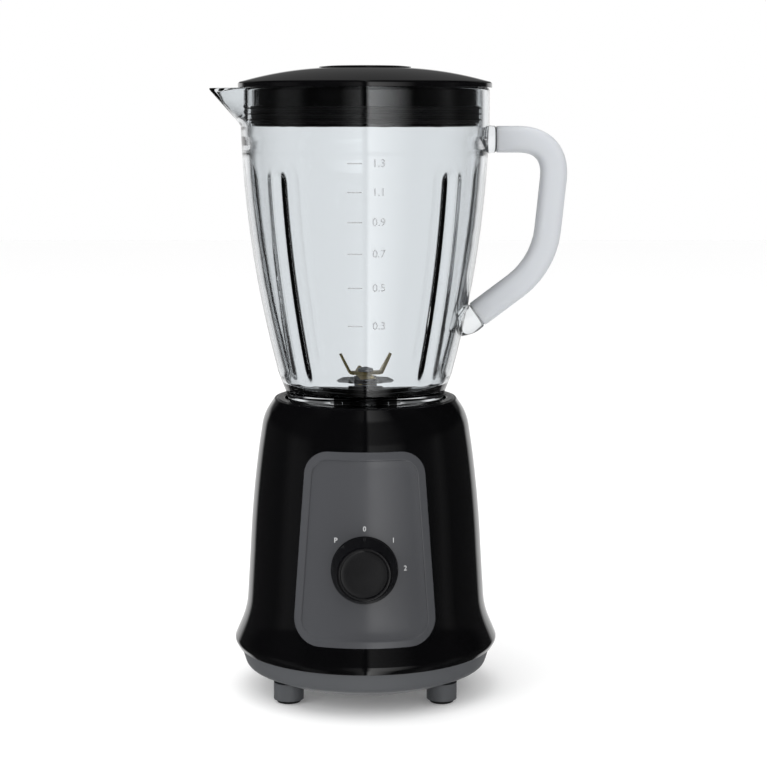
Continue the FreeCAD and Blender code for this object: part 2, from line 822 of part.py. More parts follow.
def make_mounts():
    """Rubber sleeves that hang the motor from the deck, with their screws."""
    low = "upper_bracket_z + bracket_thick"
    sleeves = []
    for x, y in at_sides("mount_ring"):
        outer = cylinder("sleeve", "mount_r", f"deck_bottom - ({low})", x, y, low)
        bore = cylinder("sleeve_bore", "motor_screw_r + screw_gap",
                        f"deck_bottom - ({low})", x, y, low)
        sleeves.append(boolean("Cut", "mount", outer, bore))
    keep(group("motor_mounts", sleeves))
    keep(screw_group("mount_screws", at_sides("mount_ring"), "motor_screw_r",
                     "motor_screw_r + screw_wall", "upper_bracket_z - head_thick", "upper_bracket_z",
                     "seat_floor - 1.4"))


def make_stator():
    """Square iron core with a round bore and two poles, and a coil round each pole."""
    stator = new_body("motor_stator")
    core = new_sketch(stator, "XY_Plane", lift="stator_bottom")
    draw_box(core, "-stator_half", "-stator_half", "stator_half", "stator_half", "5")
    extrude(stator, "Pad", core, "stator_top - stator_bottom")
    columns(stator, "Pocket", on_axis(), "pole_root_r", "stator_bottom", "stator_top")
    columns(stator, "Pocket", STATOR_SCREWS, "motor_screw_r + screw_gap", "stator_bottom",
            "stator_top")
    pole = [("stator_bore_r", "stator_bottom"), ("pole_root_r + weld * 2", "stator_bottom"),
            ("pole_root_r + weld * 2", "stator_top"), ("stator_bore_r", "stator_top")]
    for direction in (90.0, -90.0):
        turn_profile(stator, "Revolution", pole, angle="pole_angle", about=direction)
    keep(stator)
    coils = []
    inner, outer = "stator_bore_r + coil_gap * 2", "pole_root_r - coil_gap"
    low, high = "stator_bottom - coil_overhang", "stator_top + coil_overhang"
    for direction in (90.0, -90.0):
        coil = new_body("coil")
        turn_profile(coil, "Revolution", [(inner, low), (outer, low), (outer, high), (inner, high)],
                     angle="pole_angle + coil_spread", about=direction)
        window = [(inner + " - 2", "stator_bottom - coil_gap"), (outer + " + 2", "stator_bottom - coil_gap"),
                  (outer + " + 2", "stator_top + coil_gap"), (inner + " - 2", "stator_top + coil_gap")]
        turn_profile(coil, "Groove", window, angle="pole_angle + coil_slack", about=direction)
        coils.append(coil)
    keep(group("field_windings", coils))


def make_brushes():
    """Carbon brushes in their boxes either side of the commutator, pushed in by springs."""
    middle = "(commutator_bottom + commutator_top) / 2"
    start = "commutator_r + running_gap"
    half = "brush_side / 2"
    holders, brushes, springs = [], [], []
    for side in (1, -1):
        face = "YZ_Plane"
        holder = new_body("holder")
        wall = half + " + holder_wall"
        box = new_sketch(holder, face, lift=f"(commutator_r + holder_gap) * {side}")
        draw_box(box, f"-({wall})", "lower_bracket_z + bracket_thick", wall,
                 f"{middle} + {wall}")
        body = extrude(holder, "Pad", box, "holder_end - commutator_r - holder_gap")
        body.Reversed = side < 0
        hole = new_sketch(holder, face, lift=f"(commutator_r + holder_gap - overshoot) * {side}")
        draw_box(hole, f"-{half} - running_gap", f"{middle} - {half} - running_gap",
                 f"{half} + running_gap", f"{middle} + {half} + running_gap")
        bore = extrude(holder, "Pocket", hole,
                       "holder_end - commutator_r - holder_gap + overshoot - holder_wall")
        bore.Reversed = side > 0
        holders.append(holder)
        brush = new_body("brush")
        end = new_sketch(brush, face, lift=f"({start}) * {side}")
        draw_box(end, f"-{half}", f"{middle} - {half}", half, f"{middle} + {half}")
        carbon = extrude(brush, "Pad", end, "brush_length")
        carbon.Reversed = side < 0
        brushes.append(brush)
        coil = doc.addObject("Part::Helix", "spring_line")
        run = f"holder_end - holder_wall - ({start}) - brush_length - 1.2"
        bind(coil, "Height", run)
        bind(coil, "Pitch", f"({run}) / 5")
        bind(coil, "Radius", "brush_side / 2 - spring_inset")
        wire = doc.addObject("Part::Circle", "spring_wire")
        wire.Radius = 0.35
        wire.Placement = Placement(Vector(size("brush_side / 2 - spring_inset"), 0, 0),
                                   Rotation(Vector(1, 0, 0), 90))
        bind(wire, "Placement.Base.x", "brush_side / 2 - spring_inset")
        spring = doc.addObject("Part::Sweep", "spring")
        spring.Sections = [wire]
        spring.Spine = (coil, ["Edge1"])
        spring.Solid = True
        spring.Frenet = True
        spring.Placement = Placement(Vector(), Rotation(Vector(0, 1, 0), 90.0 * side))
        bind(spring, "Placement.Base.x", f"({start} + brush_length + 0.6) * {side}")
        bind(spring, "Placement.Base.z", middle)
        springs.append(spring)
    keep(group("brush_holders", holders))
    keep(group("carbon_brushes", brushes))
    keep(group("brush_springs", springs))


def make_rotor():
    """Shaft with the armature, commutator, fan and the coupling that drives the jug."""
    shaft_top = "seat_floor - dog_height + overshoot"
    keep(turned("motor_shaft", [("0", "shaft_bottom"), ("motor_shaft_r", "shaft_bottom"),
                                ("motor_shaft_r", shaft_top), ("0", shaft_top)]))
    low, high = "stator_bottom + core_inset", "stator_top - core_inset"
    iron_r = "stator_bore_r - air_gap"
    armature = ring("armature_core", "motor_shaft_r", iron_r, low, high)
    slot = columns(armature, "Pocket", [(iron_r + " - 3", "0")], "1.9", low, high)
    around(armature, slot, "12")
    keep(armature)
    windings = new_body("armature_windings")
    for start, end in ((low + " - 6", low), (high, high + " + 6")):
        turn_profile(windings, "Revolution", [
            ("motor_shaft_r + winding_foot", start), (iron_r + " - winding_inset", start, "2"),
            (iron_r + " - winding_inset", end), ("motor_shaft_r + winding_foot", end)])
    bar = columns(windings, "Pad", [(iron_r + " - 3", "0")], "1.7", low + " - 1", high + " + 1")
    around(windings, bar, "12")
    keep(windings)
    keep(turned("commutator", [
        ("motor_shaft_r", "commutator_bottom"), ("commutator_r", "commutator_bottom"),
        ("commutator_r", "commutator_top"), ("commutator_r + riser_rim", "commutator_top"),
        ("commutator_r + riser_rim", "commutator_top + riser_thick"),
        ("motor_shaft_r", "commutator_top + riser_thick")]))
    fan = turned("cooling_fan", [
        ("motor_shaft_r", "fan_top - fan_depth"), ("motor_shaft_r + fan_hub", "fan_top - fan_depth"),
        ("motor_shaft_r + fan_hub", "fan_top - fan_disc"), ("fan_r", "fan_top - fan_disc"),
        ("fan_r", "fan_top"), ("motor_shaft_r", "fan_top")])
    blade = new_sketch(fan, "XY_Plane", lift="fan_top - fan_depth")
    draw_box(blade, "motor_shaft_r + fan_hub - weld", "-fan_disc / 2", "fan_r - weld", "fan_disc / 2")
    vane = extrude(fan, "Pad", blade, "fan_depth - weld * 2")
    around(fan, vane, "fan_blades")
    keep(fan)
    keep(dog_coupling("drive_coupling", "motor_shaft_r", "seat_floor - coupling_disc",
                      "seat_floor", "dog_height", shaft_top, about=0.0))


def dog_coupling(label, bore, disc_low, disc_high, dogs, hub_end, about):
    """Disc with four dogs standing up (positive height) or hanging down (negative)."""
    coupling = new_body(label)
    turn_profile(coupling, "Revolution", [
        ("0", disc_low), ("0", disc_high), ("coupling_r", disc_high), ("coupling_r", disc_low)])
    if dogs == "dog_height":
        columns(coupling, "Pad", on_axis(), bore + " + 5", disc_low + " - 9", disc_low)
        columns(coupling, "Pocket", on_axis(), bore, disc_low + " - 9", hub_end)
        near, far = disc_high + " - 0.5", disc_high + " + dog_height"
    else:
        columns(coupling, "Pocket", on_axis(), bore, disc_low, disc_high)
        near, far = disc_low + " + 0.5", disc_low + " - dog_height + 0.7"
    dog = turn_profile(coupling, "Revolution", [
        ("dog_inner_r", near), ("coupling_r - dog_inset", near),
        ("coupling_r - dog_inset", far), ("dog_inner_r", far)], angle="dog_angle", about=about)
    around(coupling, dog, "4")
    return coupling


def make_small_fixed_parts():
    """Suppression capacitor on the pan's floor, and the gland the mains lead would use."""
    capacitor = new_body("suppression_capacitor")
    base = new_sketch(capacitor, "XY_Plane", lift="pan_floor + pan_wall")
    draw_box(base, "-capacitor_half", "capacitor_near", "capacitor_half", "capacitor_far", "1")
    extrude(capacitor, "Pad", base, "capacitor_height")
    keep(capacitor)
    lip_face = "housing_waist_r + gland_stand"
    inside = "housing_waist_r - housing_wall - gland_inset"
    gland = turned("cord_gland", [
        ("gland_bore_r", inside + " - 5"), ("gland_neck_r", inside + " - 5"),
        ("gland_neck_r", lip_face), ("gland_lip_r", lip_face),
        ("gland_lip_r", lip_face + " + gland_lip", "1"),
        ("gland_bore_r", lip_face + " + gland_lip", "0.8")])
    nut = ring("gland_nut", "gland_neck_r", "gland_neck_r + gland_nut_rim",
               inside + " - gland_nut", inside)
    for piece in (gland, nut):
        piece.Placement = Placement(Vector(), Rotation(Vector(1, 0, 0), -90))
        bind(piece, "Placement.Base.z", "gland_z")
        keep(piece)


# ---------------------------------------------------------------- jug

INNER_HIP_R = "jug_hip_r - jug_wall"
HANDLE_LEAN = "atan((handle_turn_z - handle_foot_z) / (handle_turn_x - handle_foot_x))"


def draw_handle_section(sketch):
    draw_box(sketch, "-handle_width / 2", "-handle_thick / 2", "handle_width / 2",
             "handle_thick / 2", "handle_thick / 2 - 0.6")


def draw_spout_section(sketch, half, top, bottom):
    draw(sketch, [(f"-({half})", top), ("0", bottom), (half, top)])


def loft(body, kind, sections):
    feature = body.newObject(f"PartDesign::{kind}", kind.lower())
    feature.Profile = sections[0]
    feature.Sections = sections[1:]
    return feature


def make_glass_jug():
    """Moulded glass: one long curve from hip to rim, six inward ribs, spout and stubs."""
    jug = new_body("glass_jug")
    turn_profile(jug, "Revolution", [
        ("0", "seat_floor"),
        ("jug_foot_r", "seat_floor"),
        ("jug_foot_r", "jug_foot_bend", "jug_foot_round"),
        ("jug_hip_r", "jug_hip_z", "right", "jug_curve"),
        ("jug_rim_r", "jug_band_z"),
        ("jug_rim_r", "jug_rim_z", "jug_rim_round"),
        ("0", "jug_rim_z"),
    ])
    stub = new_sketch(jug, "YZ_Plane", lift="handle_start - jug_wall - stub_root", rise="handle_top")
    draw_handle_section(stub)
    extrude(jug, "Pad", stub, "jug_wall + stub_root")
    stub = new_sketch(jug, "YZ_Plane", lift="handle_foot_x - stub_length * cos(" + HANDLE_LEAN + ")",
                      rise="handle_foot_z - stub_length * sin(" + HANDLE_LEAN + ")",
                      lean="-" + HANDLE_LEAN)
    draw_handle_section(stub)
    extrude(jug, "Pad", stub, "stub_length")
    root = new_sketch(jug, "YZ_Plane", lift="spout_root - jug_rim_r")
    draw_spout_section(root, "spout_half", "jug_rim_z", "jug_rim_z - spout_drop")
    tip = new_sketch(jug, "YZ_Plane", lift="-spout_reach")
    draw_spout_section(tip, "spout_tip_half", "jug_rim_z", "jug_rim_z - spout_tip_drop")
    loft(jug, "AdditiveLoft", [root, tip])
    turn_profile(jug, "Groove", [
        ("0", "jug_floor"),
        (INNER_HIP_R, "jug_floor", "jug_floor_round"),
        (INNER_HIP_R, "jug_hip_z", "right", "jug_curve - jug_wall"),
        ("jug_rim_r - jug_wall - weld", "band_ledge"),
        ("band_bore_r", "band_ledge + jug_rim_round"),
        ("band_bore_r", "jug_rim_z + overshoot"),
        ("0", "jug_rim_z + overshoot"),
    ])
    root = new_sketch(jug, "YZ_Plane", lift="spout_root + 2 - jug_rim_r")
    draw_spout_section(root, "spout_half - 1.8", "jug_rim_z + overshoot",
                       "jug_rim_z - spout_drop + 3.3")
    tip = new_sketch(jug, "YZ_Plane", lift="-spout_reach + 2.4")
    draw_spout_section(tip, "spout_tip_half - 0.4", "jug_rim_z + overshoot",
                       "jug_rim_z - spout_tip_drop + 1.1")
    loft(jug, "SubtractiveLoft", [root, tip])
    turn_profile(jug, "Groove", [
        ("0", "seat_floor - overshoot"),
        ("jug_foot_r - foot_wall", "seat_floor - overshoot"),
        ("jug_foot_r - foot_wall", "jug_floor - jug_floor_thick", "under_floor_round"),
        ("0", "jug_floor - jug_floor_thick"),
    ])
    columns(jug, "Pocket", on_axis(), "hub_neck_r + slip_gap", "jug_floor - jug_floor_thick",
            "jug_floor")
    notch = new_sketch(jug, "XY_Plane", lift="seat_floor")
    draw_box(notch, "jug_foot_r - foot_wall - overshoot", "-lug_width / 2 - lug_gap",
             "jug_foot_r + overshoot",
             "lug_width / 2 + lug_gap")
    cut = extrude(jug, "Pocket", notch, "lug_height + lug_gap")
    around(jug, cut, "lug_count")
    for direction in (-45.0, 0.0, 45.0, 135.0, 180.0, 225.0):
        turn_profile(jug, "Revolution", [
            ("jug_hip_r - 1.5", "rib_bottom"),
            (INNER_HIP_R, "rib_bottom"),
            ("jug_hip_r - jug_wall - rib_depth + 1.4", "rib_bottom + 10", "right",
             "jug_curve - jug_wall"),
            ("jug_rim_r - jug_wall - rib_depth - 2.2", "rib_top - 12"),
            ("jug_rim_r - jug_wall - 1", "rib_top"),
            ("jug_rim_r - jug_wall + 0.6", "rib_top - 4", "left", "jug_curve"),
        ], angle="rib_angle", about=direction)
    keep(jug)


def make_handle():
    """Loop handle swept between the two stubs on the jug."""
    handle = new_body("jug_handle")
    section = new_sketch(handle, "YZ_Plane", lift="handle_start", rise="handle_top")
    draw_handle_section(section)
    line = new_sketch(handle, "XZ_Plane")
    draw(line, [
        ("handle_start", "handle_top"),
        ("handle_reach", "handle_top", "handle_top_bend"),
        ("handle_turn_x", "handle_turn_z", "handle_low_bend"),
        ("handle_foot_x", "handle_foot_z"),
    ], closed=False)
    bar = handle.newObject("PartDesign::AdditivePipe", "bar")
    bar.Profile = section
    bar.Spine = (line, [])
    keep(handle)


# ---------------------------------------------------------------- blade unit

HUB_TOP = "jug_floor + gasket + hub_flange + hub_boss"
HUB_LOW = "jug_floor - jug_floor_thick - hub_nut"


def make_blade_hub():
    """Bearing hub clamped through the jug's floor, with its gasket, nut, bushes and seal."""
    flange_low = "jug_floor + gasket"
    flange_top = flange_low + " + hub_flange"
    keep(turned("blade_hub", [
        ("hub_bore_r", HUB_LOW),
        ("hub_neck_r", HUB_LOW),
        ("hub_neck_r", flange_low),
        ("hub_flange_r", flange_low),
        ("hub_flange_r", flange_top, "1"),
        ("hub_boss_r", flange_top),
        ("hub_boss_r", HUB_TOP, "0.8"),
        ("hub_bore_r", HUB_TOP),
    ]))
    keep(ring("jug_gasket", "hub_neck_r + 0.6", "hub_flange_r - 2", "jug_floor", flange_low))
    keep(ring("hub_nut", "hub_neck_r", "hub_nut_r", HUB_LOW, "jug_floor - jug_floor_thick"))
    bore = "blade_shaft_r + running_gap"
    keep(ring("lower_bush", bore, "hub_bore_r", HUB_LOW, HUB_LOW + " + bush_length"))
    keep(ring("upper_bush", bore, "hub_bore_r", HUB_TOP + " - seal_thick - bush_below_seal - bush_length",
              HUB_TOP + " - seal_thick - bush_below_seal"))
    keep(ring("shaft_seal", bore, "hub_bore_r", HUB_TOP + " - seal_thick", HUB_TOP))


def make_blade(label, low, reach, rise, angle):
    """Two prongs bent up from a flat middle, tapered to their tips, with a round bore."""
    blank = new_body(label + "_blank")
    side = new_sketch(blank, "XZ_Plane")
    flat = "blade_width / 2 + 2"
    high = f"{low} + blade_gauge"
    tip_low, tip_high = f"{low} + {rise}", f"{low} + {rise} + blade_gauge * 0.7"
    draw(side, [
        (f"-({flat})", low), (flat, low), (reach, tip_low), (f"{reach} - 0.8", tip_high),
        (f"{flat} - 0.7", high), (f"-({flat}) + 0.7", high), (f"-({reach}) + 0.8", tip_high),
        (f"-({reach})", tip_low),
    ])
    extrude(blank, "Pad", side, "blade_width", both=True)
    columns(blank, "Pocket", on_axis(), "blade_shaft_r", low, high)
    plan = new_body(label + "_plan")
    outline = new_sketch(plan, "XY_Plane", lift=low)
    half = "blade_width / 2"
    draw(outline, [
        (f"-({reach})", "-0.8"), ("-5", f"-{half}"), ("5", f"-{half}"), (reach, "-0.8"),
        (reach, "0.8"), ("5", half), ("-5", half), (f"-({reach})", "0.8"),
    ])
    extrude(plan, "Pad", outline, f"{rise} + 5")
    blade = boolean("Common", label, blank, plan)
    blade.Placement = Placement(Vector(), Rotation(Vector(0, 0, 1), angle))
    keep(blade)


def make_blades():
    """Shaft, two crossed blades on it under a nut, and the coupling that turns them."""
    low = HUB_TOP + " + washer_lift + washer_thick"
    middle = low + " + blade_gauge"
    high = middle + " + blade_gauge"
    disc_low = "seat_floor + dog_height + 0.6"
    keep(ring("blade_washer", "blade_shaft_r", "blade_shaft_r + washer_rim",
              HUB_TOP + " + washer_lift", low))
    make_blade("lower_blade", low, "low_blade_reach", "low_blade_rise", 100.0)
    make_blade("upper_blade", middle, "blade_reach", "blade_rise", 8.0)
    keep(turned("blade_nut", [
        ("blade_shaft_r", high),
        ("blade_nut_r", high),
        ("blade_nut_r", high + " + blade_nut", "2"),
        ("0", high + " + blade_nut"),
        ("0", high + " + blade_nut - 1.2"),
        ("blade_shaft_r", high + " + blade_nut - 1.2"),
    ]))
    keep(turned("blade_shaft", [
        ("0", disc_low), ("blade_shaft_r", disc_low),
        ("blade_shaft_r", high + " + blade_nut - 1.4"), ("0", high + " + blade_nut - 1.4")]))
    keep(dog_coupling("jug_coupling", "blade_shaft_r", disc_low, disc_low + " + coupling_disc",
                      "hanging", "0", about=45.0))


# ---------------------------------------------------------------- lid and measuring cap

def make_lid():
    """Domed cover with a skirt inside the jug's rim and a round opening for the cap."""
    bore = "cap_r + slip_gap"
    rest = "jug_rim_z"
    under = "lid_crown - lid_wall"
    keep(turned("lid_cover", [
        (bore, "lid_crown", "left", "dome_bow"),
        ("lid_r - lid_round", rest + " + lid_edge"),
        ("lid_r", rest + " + lid_edge - lid_round"),
        ("lid_r", rest),
        ("skirt_r", rest),
        ("skirt_r", "skirt_bottom"),
        ("skirt_r - lid_wall", "skirt_bottom"),
        ("skirt_r - lid_wall", rest + " + lid_edge - 2", "right", "dome_bow"),
        (bore + " + lid_wall", under),
        (bore + " + lid_wall", "cap_bottom + 4"),
        (bore, "cap_bottom + 4"),
    ]))
    band = "skirt_r + fin_band"
    corners = [("skirt_r", "fin_bottom - fin_edge"), (band, "fin_bottom - fin_edge")]
    for fin in range(int(SIZES["fin_count"])):
        foot = f"fin_bottom + fin_pitch * {fin}"
        corners += [(band, foot), ("skirt_r + fin_reach", foot),
                    ("skirt_r + fin_reach", foot + " + fin_thick"), (band, foot + " + fin_thick")]
    last = "fin_bottom + fin_pitch * (fin_count - 1) + fin_thick + fin_edge"
    keep(turned("lid_seal", corners + [(band, last), ("skirt_r", last)]))


def make_cap():
    """Measuring cap: a cup, open downwards, that hangs in the lid by its flange."""
    inner = "cap_r - cap_wall"
    keep(turned("measuring_cap", [
        ("0", "cap_crown"),
        ("cap_flange_r - cap_slope", "cap_crown", "cap_round"),
        ("cap_flange_r", "lid_crown + cap_flange"),
        ("cap_flange_r", "lid_crown"),
        ("cap_r", "lid_crown"),
        ("cap_r", "cap_bottom", "0.8"),
        (inner, "cap_bottom", "0.8"),
        (inner, "cap_crown - cap_wall - cap_hollow", "2"),
        ("0", "cap_crown - cap_wall - cap_hollow"),
    ]))


# ---------------------------------------------------------------- checks and files

make_base_pan()
make_feet_and_screws()
make_upper_housing()
make_jug_seat()
make_control_panel()
make_knob()
make_brackets()
make_mounts()
make_stator()
make_brushes()
make_rotor()
make_small_fixed_parts()
make_glass_jug()
make_handle()
make_blade_hub()
make_blades()
make_lid()
make_cap()


def check_and_write():
    doc.recompute()
    for thing in doc.Objects:
        if "Invalid" in thing.State or "Error" in thing.State:
            raise RuntimeError(f"{thing.Label}: {thing.State}")
    os.makedirs("parts", exist_ok=True)
    for node in nodes:
        if node.Shape.isNull() or not node.Shape.isValid():
            raise RuntimeError(f"{node.Label} has no valid shape")
        node.Shape.exportStep(f"parts/{node.Label}.step")


check_and_write()
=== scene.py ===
# %% [markdown]
# A countertop blender: a glossy black motor base, a ribbed glass jug with a frosted handle, and a black
# lid with a measuring cap. The working model comes in first as a fixed frame. Everything made here is
# placed from that frame's boxes and joints, in metres, so nothing has to be fitted by eye afterwards.

# %% Load the frame
import json
import math

import bmesh
import bpy
from mathutils import Matrix, Vector


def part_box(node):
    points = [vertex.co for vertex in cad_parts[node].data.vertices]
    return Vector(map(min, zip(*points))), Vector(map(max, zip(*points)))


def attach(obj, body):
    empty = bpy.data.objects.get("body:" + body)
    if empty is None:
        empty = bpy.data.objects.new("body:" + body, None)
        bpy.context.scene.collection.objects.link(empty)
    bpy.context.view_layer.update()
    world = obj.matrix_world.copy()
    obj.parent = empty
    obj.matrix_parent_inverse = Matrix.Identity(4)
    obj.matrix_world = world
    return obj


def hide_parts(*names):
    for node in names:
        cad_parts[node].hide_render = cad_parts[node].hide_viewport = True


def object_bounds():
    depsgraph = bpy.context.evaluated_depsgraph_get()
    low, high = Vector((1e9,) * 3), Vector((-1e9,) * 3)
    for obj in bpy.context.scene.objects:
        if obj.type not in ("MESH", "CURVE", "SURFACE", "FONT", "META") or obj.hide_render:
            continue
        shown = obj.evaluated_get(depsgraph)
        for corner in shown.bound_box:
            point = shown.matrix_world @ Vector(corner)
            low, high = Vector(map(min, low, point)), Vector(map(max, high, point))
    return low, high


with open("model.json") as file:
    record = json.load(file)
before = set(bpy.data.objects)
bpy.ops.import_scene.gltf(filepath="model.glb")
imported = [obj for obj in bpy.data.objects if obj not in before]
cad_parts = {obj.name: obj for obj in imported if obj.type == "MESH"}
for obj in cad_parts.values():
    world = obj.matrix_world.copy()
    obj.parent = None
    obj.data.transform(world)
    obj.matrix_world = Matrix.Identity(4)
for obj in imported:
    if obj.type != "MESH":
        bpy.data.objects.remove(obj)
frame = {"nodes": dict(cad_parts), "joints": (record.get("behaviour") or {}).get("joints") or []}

MM = 0.001
cad_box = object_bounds()
joints = {joint["name"]: joint for joint in frame["joints"]}

# %% [markdown]
# The camera looks from about the height of the lid, a little downwards, through a long lens. A long
# lens flattens the object, so its upright lines stay nearly parallel. The aim is slightly to the right
# of the axis, because the handle makes the object wider on that side.

# %% Camera
CAMERA_AWAY = 1.1297
CAMERA_HEIGHT = 0.3339
CAMERA_ASIDE = 0.0104
CAMERA_DOWN = math.radians(7.88)
LENS = 92.8

camera_data = bpy.data.cameras.new("camera")
camera_data.lens = LENS
camera = bpy.data.objects.new("camera", camera_data)
camera.location = (CAMERA_ASIDE, -CAMERA_AWAY, CAMERA_HEIGHT)
camera.rotation_euler = (math.pi / 2 - CAMERA_DOWN, 0, 0)
bpy.context.scene.collection.objects.link(camera)
bpy.context.scene.camera = camera
print("camera", round(CAMERA_AWAY, 2), "m away with a", LENS, "mm lens")

# %% [markdown]
# A shader is a small graph of nodes, and writing such graphs by hand repeats the same three steps: make
# a node, set its values, link its inputs. One function does the three steps. Colours are written as the
# hex codes of a paint chart and turned to linear light by a second function.

# %% Node and colour helpers


def add_node(tree, kind, settings=None, links=None):
    """A new node with its properties and input values set and its inputs linked."""
    node = tree.nodes.new(kind)
    for name, value in (settings or {}).items():
        if isinstance(name, str) and hasattr(node, name):
            setattr(node, name, value)
        else:
            node.inputs[name].default_value = value
    for name, socket in (links or {}).items():
        tree.links.new(socket, node.inputs[name])
    return node


def linear(code):
    """An sRGB hex colour as linear red, green, blue and alpha."""
    parts = [int(code[start:start + 2], 16) / 255 for start in (1, 3, 5)]
    return [p / 12.92 if p <= 0.04045 else ((p + 0.055) / 1.055) ** 2.4 for p in parts] + [1.0]


print("mid grey is", round(linear("#808080")[0], 3), "in linear light")

# %% [markdown]
# A studio is a bright room for matt things and a dark room with a few bright windows for glossy ones.
# The sky shader can be both, because it knows which kind of ray reached it: the plain background and
# the soft fill are pale, a reflection sees a dark room with one tall window and a pale wall behind the
# object, and light that has gone through glass sees pale walls with dark gaps, which draw its edges.
# The window and the walls are at their brightest near and below the horizon and dimmer above it, and
# straight overhead is a soft ceiling light.

# %% Studio surroundings
PALE = linear("#ffffff")
WINDOW_BRIGHT, UPPER_BRIGHT = 3.2, 0.4
BRIGHT_UP_TO, DIM_FROM = 0.06, 0.15
CEILING_FROM, CEILING_FULL = 0.72, 0.8
world = bpy.data.worlds.new("studio")
bpy.context.scene.world = world
world.use_nodes = True
tree = world.node_tree
tree.nodes.clear()
direction = add_node(tree, "ShaderNodeTexCoord").outputs["Generated"]
split = add_node(tree, "ShaderNodeSeparateXYZ", links={0: direction})
flip = add_node(tree, "ShaderNodeMath", {"operation": "MULTIPLY", 1: -1.0}, {0: split.outputs["Y"]})
turn = add_node(tree, "ShaderNodeMath", {"operation": "ARCTAN2"},
                {0: split.outputs["X"], 1: flip.outputs[0]})
around = add_node(tree, "ShaderNodeMapRange", {1: -math.pi, 2: math.pi, 3: 0.0, 4: 1.0},
                  {0: turn.outputs[0]})


def ring_of_light(stops):
    """A grey scale round the horizon: stops are (degrees from the front, brightness)."""
    ramp = add_node(tree, "ShaderNodeValToRGB", links={0: around.outputs[0]})
    points = ramp.color_ramp.elements
    while len(points) < len(stops):
        points.new(0.5)
    for point, (degrees, grey) in zip(points, stops):
        point.position = 0.5 + degrees / 360
        point.color = (grey, grey, grey, 1.0)
    return ramp.outputs["Color"]


mirror_room = ring_of_light([
    (-180, 0.30), (-148, 0.28), (-141, 0.01), (-96, 0.006), (-82, 0.035), (-66, 0.03), (-56, 0.004),
    (-22, 0.01), (-4, 0.09), (-1, 0.004), (1.5, 0.004), (5, 0.60), (16, 0.42), (38, 0.10),
    (46, 0.006), (72, 0.012), (84, 0.035), (96, 0.008), (141, 0.01), (148, 0.28), (180, 0.30),
])
glass_room = ring_of_light([
    (-180, 0.93), (-165, 0.93), (-158, 0.14), (-146, 0.14), (-138, 0.93), (-120, 0.93),
    (-112, 0.14), (-100, 0.93), (-70, 0.30), (-30, 0.70), (0, 0.93), (30, 0.70), (70, 0.30),
    (100, 0.93), (112, 0.14), (120, 0.93), (138, 0.93), (146, 0.14), (158, 0.14), (165, 0.93),
    (180, 0.93),
])
path = add_node(tree, "ShaderNodeLightPath")
walls = add_node(tree, "ShaderNodeMapRange",
                 {1: BRIGHT_UP_TO, 2: DIM_FROM, 3: WINDOW_BRIGHT, 4: UPPER_BRIGHT},
                 {0: split.outputs["Z"]})
ceiling = add_node(tree, "ShaderNodeMapRange", {1: CEILING_FROM, 2: CEILING_FULL, 3: 0.0, 4: 1.0},
                   {0: split.outputs["Z"]})
level = add_node(tree, "ShaderNodeMath", {"operation": "ADD"},
                 {0: walls.outputs[0], 1: ceiling.outputs[0]})
mirrored = add_node(tree, "ShaderNodeVectorMath", {"operation": "SCALE"},
                    {0: mirror_room, "Scale": level.outputs[0]})
straight = add_node(tree, "ShaderNodeMix", {"data_type": "RGBA", 6: PALE},
                    {0: path.outputs["Is Transmission Ray"], 7: glass_room})
bounced = add_node(tree, "ShaderNodeMath", {"operation": "GREATER_THAN", 1: 0.5},
                   {0: path.outputs["Glossy Depth"]})
room = add_node(tree, "ShaderNodeMix", {"data_type": "RGBA"},
                {0: bounced.outputs[0], 6: straight.outputs[2], 7: mirrored.outputs[0]})
back = add_node(tree, "ShaderNodeBackground", {"Strength": 1.0}, {"Color": room.outputs[2]})
add_node(tree, "ShaderNodeOutputWorld", links={"Surface": back.outputs[0]})
bpy.context.scene.view_settings.view_transform = "Standard"
print("the studio has", len(tree.nodes), "nodes")

# %% [markdown]
# The floor is a plain wide sheet, large enough that its far edge melts into the pale background. Two
# soft lamps light the matt surfaces: one above for the shadow under the pan, one from the left. They
# are hidden from reflections, because the gloss already mirrors the surroundings made above.

# %% Floor and lamps
FLOOR_SIZE = 8.0


def studio_lamp(name, place, aim, side, watts):
    """A soft square lamp that lights the matt surfaces and isn't mirrored in the glossy ones."""
    data = bpy.data.lights.new(name, "AREA")
    data.size = side
    data.energy = watts
    lamp = bpy.data.objects.new(name, data)
    lamp.location = place
    lamp.rotation_euler = (Vector(aim) - Vector(place)).to_track_quat("-Z", "Y").to_euler()
    lamp.visible_glossy = False
    lamp.visible_transmission = False
    lamp.visible_camera = False
    bpy.context.scene.collection.objects.link(lamp)


middle = (0, 0, cad_box[1].z / 2)
studio_lamp("lamp_above", (-0.2, -0.2, 1.5), middle, 1.2, 9.0)
studio_lamp("lamp_left", (-1.2, -1.1, 0.9), middle, 0.8, 7.0)

floor_mesh = bpy.data.meshes.new("floor")
half = FLOOR_SIZE / 2
floor_mesh.from_pydata([(-half, -half, 0), (half, -half, 0), (half, half, 0), (-half, half, 0)], [],
                       [(0, 1, 2, 3)])
floor = bpy.data.objects.new("floor", floor_mesh)
floor.visible_glossy = False
floor.visible_transmission = False
bpy.context.scene.collection.objects.link(floor)
print("floor laid, two lamps hung")

# %% [markdown]
# Nearly every plastic on the object is moulded: the surface copies the steel mould, so it is either
# polished, with long shallow waves, or eroded by sparks, with a fine grain. Both are one recipe with a
# different wave length and depth, so one function makes them all. The grain also moves the roughness a
# little, because a worn or dusty grain never shines evenly.

# %% Moulded plastics


